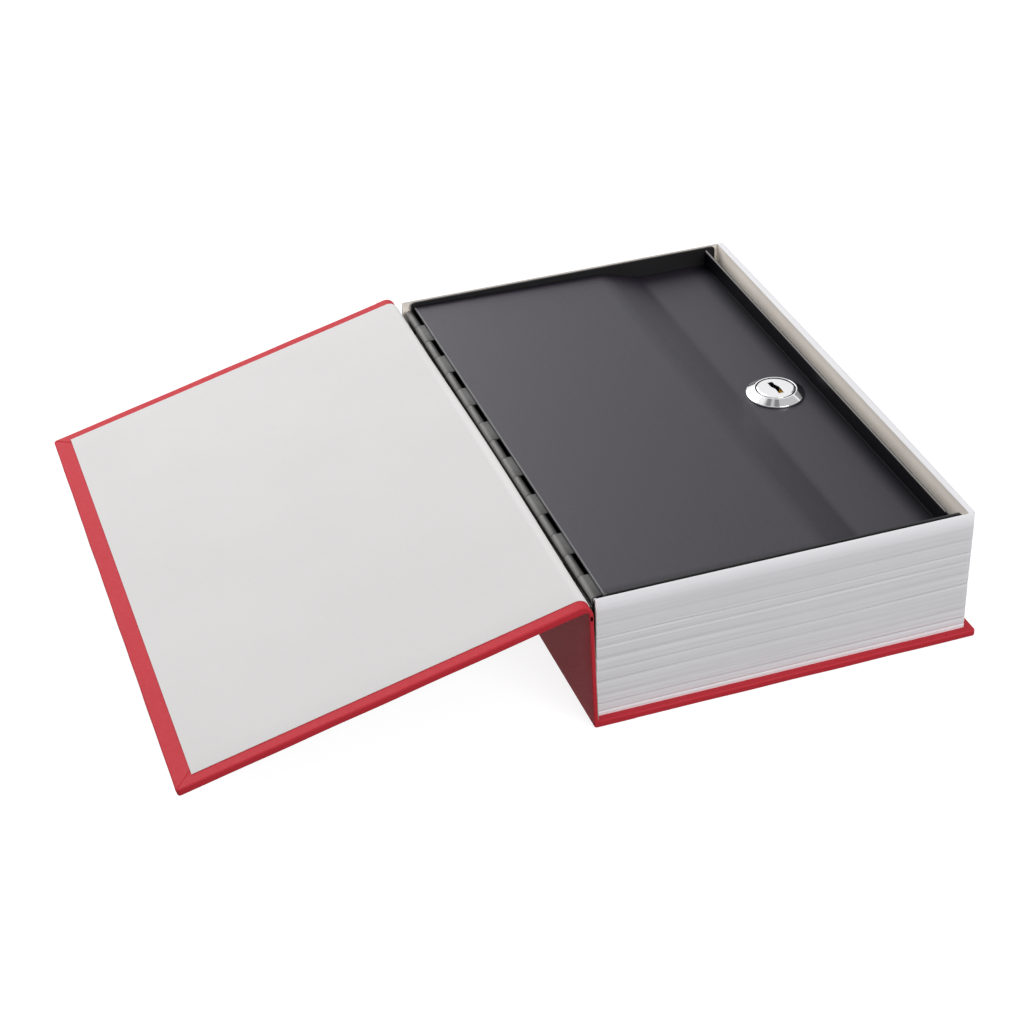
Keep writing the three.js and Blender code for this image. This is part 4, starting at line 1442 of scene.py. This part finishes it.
class BOOKSAFE_OT_cam_lock(Step, bpy.types.Operator):
    """Makes the lock: bezel, threaded barrel, plug with its keyway, and what holds the cam"""

    bl_idname = "book_safe.cam_lock"
    bl_label = "Cam lock"

    def make(self, sizes):
        seat = FACE_Z - BEZEL_HEIGHT
        bezel = [
            (BEZEL_BORE, seat),
            (BEZEL, seat),
            (BEZEL, seat + BEZEL_RIM),
            (BEZEL_FACE, FACE_Z),
            (BEZEL_BORE, FACE_Z),
        ]
        ring = turned(eased_profile(bezel, BEZEL_EASE), 160, ring=True)
        barrel = threaded_barrel(mm(sizes.thread_pitch), BARREL_LOW, seat + 0.05)
        housing = new_piece("lock_body", *merged(ring, barrel), MADE["chrome"], smooth=32)
        flatten_faces(housing)
        settle(housing, "lid", "lock_chrome", "lock_housing")
        low, high = seat - 0.4, FACE_Z - RECESS_DEPTH
        ledge = [(RECESS_IN, low), (RECESS_OUT, low), (RECESS_OUT, high), (RECESS_IN, high - 0.05)]
        ledge = turned(eased_profile(ledge, RECESS_EASE), 96, ring=True)
        recess = new_piece("lock_recess", *ledge, MADE["recess"])
        settle(recess, "lid", "lock_chrome")

        head = FACE_Z - HEAD_DEPTH
        tail = BARREL_LOW - TAIL
        profile = [(0.0, tail), (PLUG - PLUG_EASE, tail), (PLUG, tail + PLUG_EASE)]
        profile += [(PLUG, head), (HEAD_UNDER, head), (HEAD_RIM, head + 0.08)]
        profile += [(HEAD_RIM, FACE_Z - 0.3), (HEAD_TOP, FACE_Z - 0.1)]
        profile += [
            (HEAD * k / 8, FACE_Z + HEAD_DOME * (1 - (k / 8) ** 2)) for k in range(8, -1, -1)
        ]
        plug = new_piece("plug", *turned(profile, 160), MADE["chrome"])
        carve(plug, keyway_cutter(), *wafer_cutters(), smooth=30)
        halves = (-TAIL_HALF, TAIL_HALF)
        sides = [centre + half for centre in (LOCK_X, LOCK_Y) for half in halves]
        square = block(*sides, tail - TAIL_LENGTH, tail + TAIL_OVERLAP)
        joined(plug, new_piece("tail_square", *square))
        soften_shading(plug.data, 30)
        settle(plug, "plug", "lock_chrome", "lock_plug")

        for name, node, body, width in (
            ("nut", "lock_nut", "lid", 0.3),
            ("washer", "lock_washer", "lid", 0.12),
            ("cam_plate", "cam", "plug", 0.2),
            ("cam_fixing", "cam_screw", "plug", 0.12),
        ):
            piece = eased_copy(name, node, MADE["zinc"], width)
            settle(piece, body, "plain_steel", node)


# Stage

WHITE = (1, 1, 1, 1)
FLOOR_REACH, FLOOR_DROP, FLOOR_GLOW = 4.0, 0.0004, 0.87
STRIP_HEIGHT, STRIP_HALF_LENGTH, STRIP_HALF_WIDTH = 1.55, 0.25, 0.125
PHOTO_WIDTH, FOCAL_PIXELS = 1024, 2297.1
CAMERA_TURN_RISE_ROLL = (-18.34, 33.95, -1.7)
CAMERA_PLACE = (-0.3093, -0.7298, 0.5345)


def soft_box(name, place, target, width, height, radiance):
    """A large soft lamp whose face has this radiance."""
    lamp = bpy.data.lights.new(name, "AREA")
    lamp.shape = "RECTANGLE"
    lamp.size, lamp.size_y = width, height
    lamp.energy = radiance * math.pi * width * height
    piece = placed(name, lamp)
    piece.location = place
    way = Vector(target) - Vector(place)
    piece.rotation_euler = way.to_track_quat("-Z", "Y").to_euler()
    piece.visible_camera = False


def seen_or_lit(nodes, links, seen, lit):
    """Mixes what camera, gloss and glass rays see with what lights the object."""
    path = nodes.new("ShaderNodeLightPath").outputs
    either = path["Is Camera Ray"]
    for ray in ("Is Glossy Ray", "Is Transmission Ray"):
        larger = nodes.new("ShaderNodeMath")
        larger.operation = "MAXIMUM"
        links.new(either, larger.inputs[0])
        links.new(path[ray], larger.inputs[1])
        either = larger.outputs[0]
    mix = nodes.new("ShaderNodeMixShader")
    for index, source in enumerate((either, lit, seen)):
        links.new(source, mix.inputs[index])
    return mix.outputs[0]


def studio_world():
    """A white world to look at, and a dimmer one that lights the object."""
    world = bpy.data.worlds.new("Studio")
    bpy.context.scene.world = world
    world.use_nodes = True
    nodes, links = world.node_tree.nodes, world.node_tree.links
    seen, lit = nodes["Background"], nodes.new("ShaderNodeBackground")
    for node, tint, strength in ((seen, WHITE, 1.0), (lit, (0.97, 0.98, 1.0, 1), 0.4)):
        set_inputs(node, Color=tint, Strength=strength)
    mixed = seen_or_lit(nodes, links, seen.outputs[0], lit.outputs[0])
    links.new(mixed, nodes["World Output"].inputs["Surface"])


def quad(name, corners):
    """A four-sided sheet with a node material of the same name."""
    mesh = bpy.data.meshes.new(name)
    mesh.from_pydata(corners, [], [(0, 1, 2, 3)])
    material = bpy.data.materials.new(name)
    material.use_nodes = True
    mesh.materials.append(material)
    return placed(name, mesh), material.node_tree


def pale_floor():
    """A pale sheet that shows white to the camera and keeps the object's shadow."""
    signs = ((-1, -1), (1, -1), (1, 1), (-1, 1))
    corners = [(x * FLOOR_REACH, y * FLOOR_REACH, -FLOOR_DROP) for x, y in signs]
    floor, tree = quad("floor", corners)
    nodes, links = tree.nodes, tree.links
    nodes.remove(nodes["Principled BSDF"])
    lit, shadowed = (nodes.new("ShaderNodeBsdfDiffuse") for _ in range(2))
    set_inputs(lit, Color=(0.05, 0.05, 0.05, 1))
    set_inputs(shadowed, Color=(0.33, 0.33, 0.33, 1))
    glow = nodes.new("ShaderNodeEmission")
    set_inputs(glow, Strength=FLOOR_GLOW)
    white = nodes.new("ShaderNodeAddShader")
    links.new(shadowed.outputs[0], white.inputs[0])
    links.new(glow.outputs[0], white.inputs[1])
    mixed = seen_or_lit(nodes, links, white.outputs[0], lit.outputs[0])
    links.new(mixed, nodes["Material Output"].inputs["Surface"])


def card(name, corners, level):
    """A card beside the set, of this brightness, that only shows in gloss and bright metal."""
    piece, tree = quad(name, corners)
    set_inputs(
        tree.nodes["Principled BSDF"],
        Base_Color=(0.0, 0.0, 0.0, 1),
        Specular_IOR_Level=0.0,
        Emission_Color=WHITE,
        Emission_Strength=level,
    )
    piece.visible_camera = False
    piece.visible_diffuse = False
    piece.visible_shadow = False
    piece.visible_transmission = False


def overhead_strip(name, x, y, turn, level):
    """A narrow card high over the lock, which shows as a band in its bezel."""
    turn = math.radians(turn)
    across = Vector((math.cos(turn), math.sin(turn), 0.0))
    along = Vector((-across.y, across.x, 0.0)) * STRIP_HALF_LENGTH
    across *= STRIP_HALF_WIDTH
    middle = Vector((x, y, STRIP_HEIGHT))
    corners = (along + across, across - along, -across - along, along - across)
    card(name, [tuple(middle + corner) for corner in corners], level)


def fitted_camera():
    """The camera fitted to the photograph: its place, its turn, rise and roll, and its lens."""
    lens = bpy.data.cameras.new("View")
    lens.sensor_width = 36.0
    lens.lens = lens.sensor_width * FOCAL_PIXELS / PHOTO_WIDTH
    lens.clip_start, lens.clip_end = 0.05, 20.0
    camera = placed("View", lens)
    turn, rise, roll = map(math.radians, CAMERA_TURN_RISE_ROLL)
    flat = math.cos(rise)
    back = Vector((math.sin(turn) * flat, -math.cos(turn) * flat, math.sin(rise)))
    level = (-back).cross(Vector((0, 0, 1))).normalized()
    upright = level.cross(-back)
    right = level * math.cos(roll) + upright * math.sin(roll)
    up = upright * math.cos(roll) - level * math.sin(roll)
    matrix = Matrix((right, up, back)).transposed().to_4x4()
    matrix.translation = CAMERA_PLACE
    camera.matrix_world = matrix
    return camera


class BOOKSAFE_OT_stage(bpy.types.Operator):
    """Sets the floor, the lamps, the cards and the camera"""

    bl_idname = "book_safe.stage"
    bl_label = "Stage"

    def execute(self, context):
        scene = context.scene
        scene.view_settings.view_transform = "Standard"
        studio_world()
        pale_floor()
        soft_box("Back softbox", (-0.40, 0.857, 0.739), (0.0, 0.0, 0.04), 1.4, 0.9, 2.8)
        soft_box("Front fill", (0.4, -1.6, 1.1), (0.0, 0.0, 0.03), 1.0, 0.8, 8.0)
        foot = [(0.82, 0.92, 0.0), (1.21, 0.31, 0.0)]
        card("Side card", foot + [(x, y, 1.0) for x, y, _ in foot[::-1]], 0.3)
        corners = ((-0.8, -1.5), (1.8, -1.5), (1.8, 0.35), (-0.8, 0.35))
        card("Overhead card", [(x, y, 1.6) for x, y in corners], 0.6)
        overhead_strip("Left band card", -0.21, 0.17, -48, 0.25)
        overhead_strip("Right band card", 0.13, -0.06, -18, 0.25)
        scene.camera = fitted_camera()
        return {"FINISHED"}


class BOOKSAFE_PT_panel(bpy.types.Panel):
    """Lists the book safe's pieces"""

    bl_idname = "BOOKSAFE_PT_panel"
    bl_label = "Book Safe"
    bl_space_type = "VIEW_3D"
    bl_region_type = "UI"
    bl_category = "Book Safe"

    def draw(self, context):
        layout = self.layout
        for operator in OPERATORS:
            layout.operator(operator.bl_idname)
        for group in (context.scene.book_safe_sizes, context.scene.book_safe_colours):
            box = layout.box()
            for name in group.bl_rna.properties.keys():
                if name not in {"rna_type", "name"}:
                    box.prop(group, name)


OPERATORS = (
    BOOKSAFE_OT_finishes,
    BOOKSAFE_OT_case_covering,
    BOOKSAFE_OT_front_covering,
    BOOKSAFE_OT_cloth_joint,
    BOOKSAFE_OT_endpaper,
    BOOKSAFE_OT_page_block,
    BOOKSAFE_OT_cash_box,
    BOOKSAFE_OT_piano_hinge,
    BOOKSAFE_OT_lid,
    BOOKSAFE_OT_cam_lock,
    BOOKSAFE_OT_stage,
)
CLASSES = (BookSafeSizes, BookSafeColours, *OPERATORS, BOOKSAFE_PT_panel)


def register():
    for each in CLASSES:
        bpy.utils.register_class(each)
    bpy.types.Scene.book_safe_sizes = PointerProperty(type=BookSafeSizes)
    bpy.types.Scene.book_safe_colours = PointerProperty(type=BookSafeColours)


def unregister():
    del bpy.types.Scene.book_safe_colours
    del bpy.types.Scene.book_safe_sizes
    for each in reversed(CLASSES):
        bpy.utils.unregister_class(each)


def main():
    register()
    for operator in OPERATORS:
        getattr(bpy.ops.book_safe, operator.bl_idname.split(".")[1])()
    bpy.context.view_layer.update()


if __name__ == "__main__":
    main()
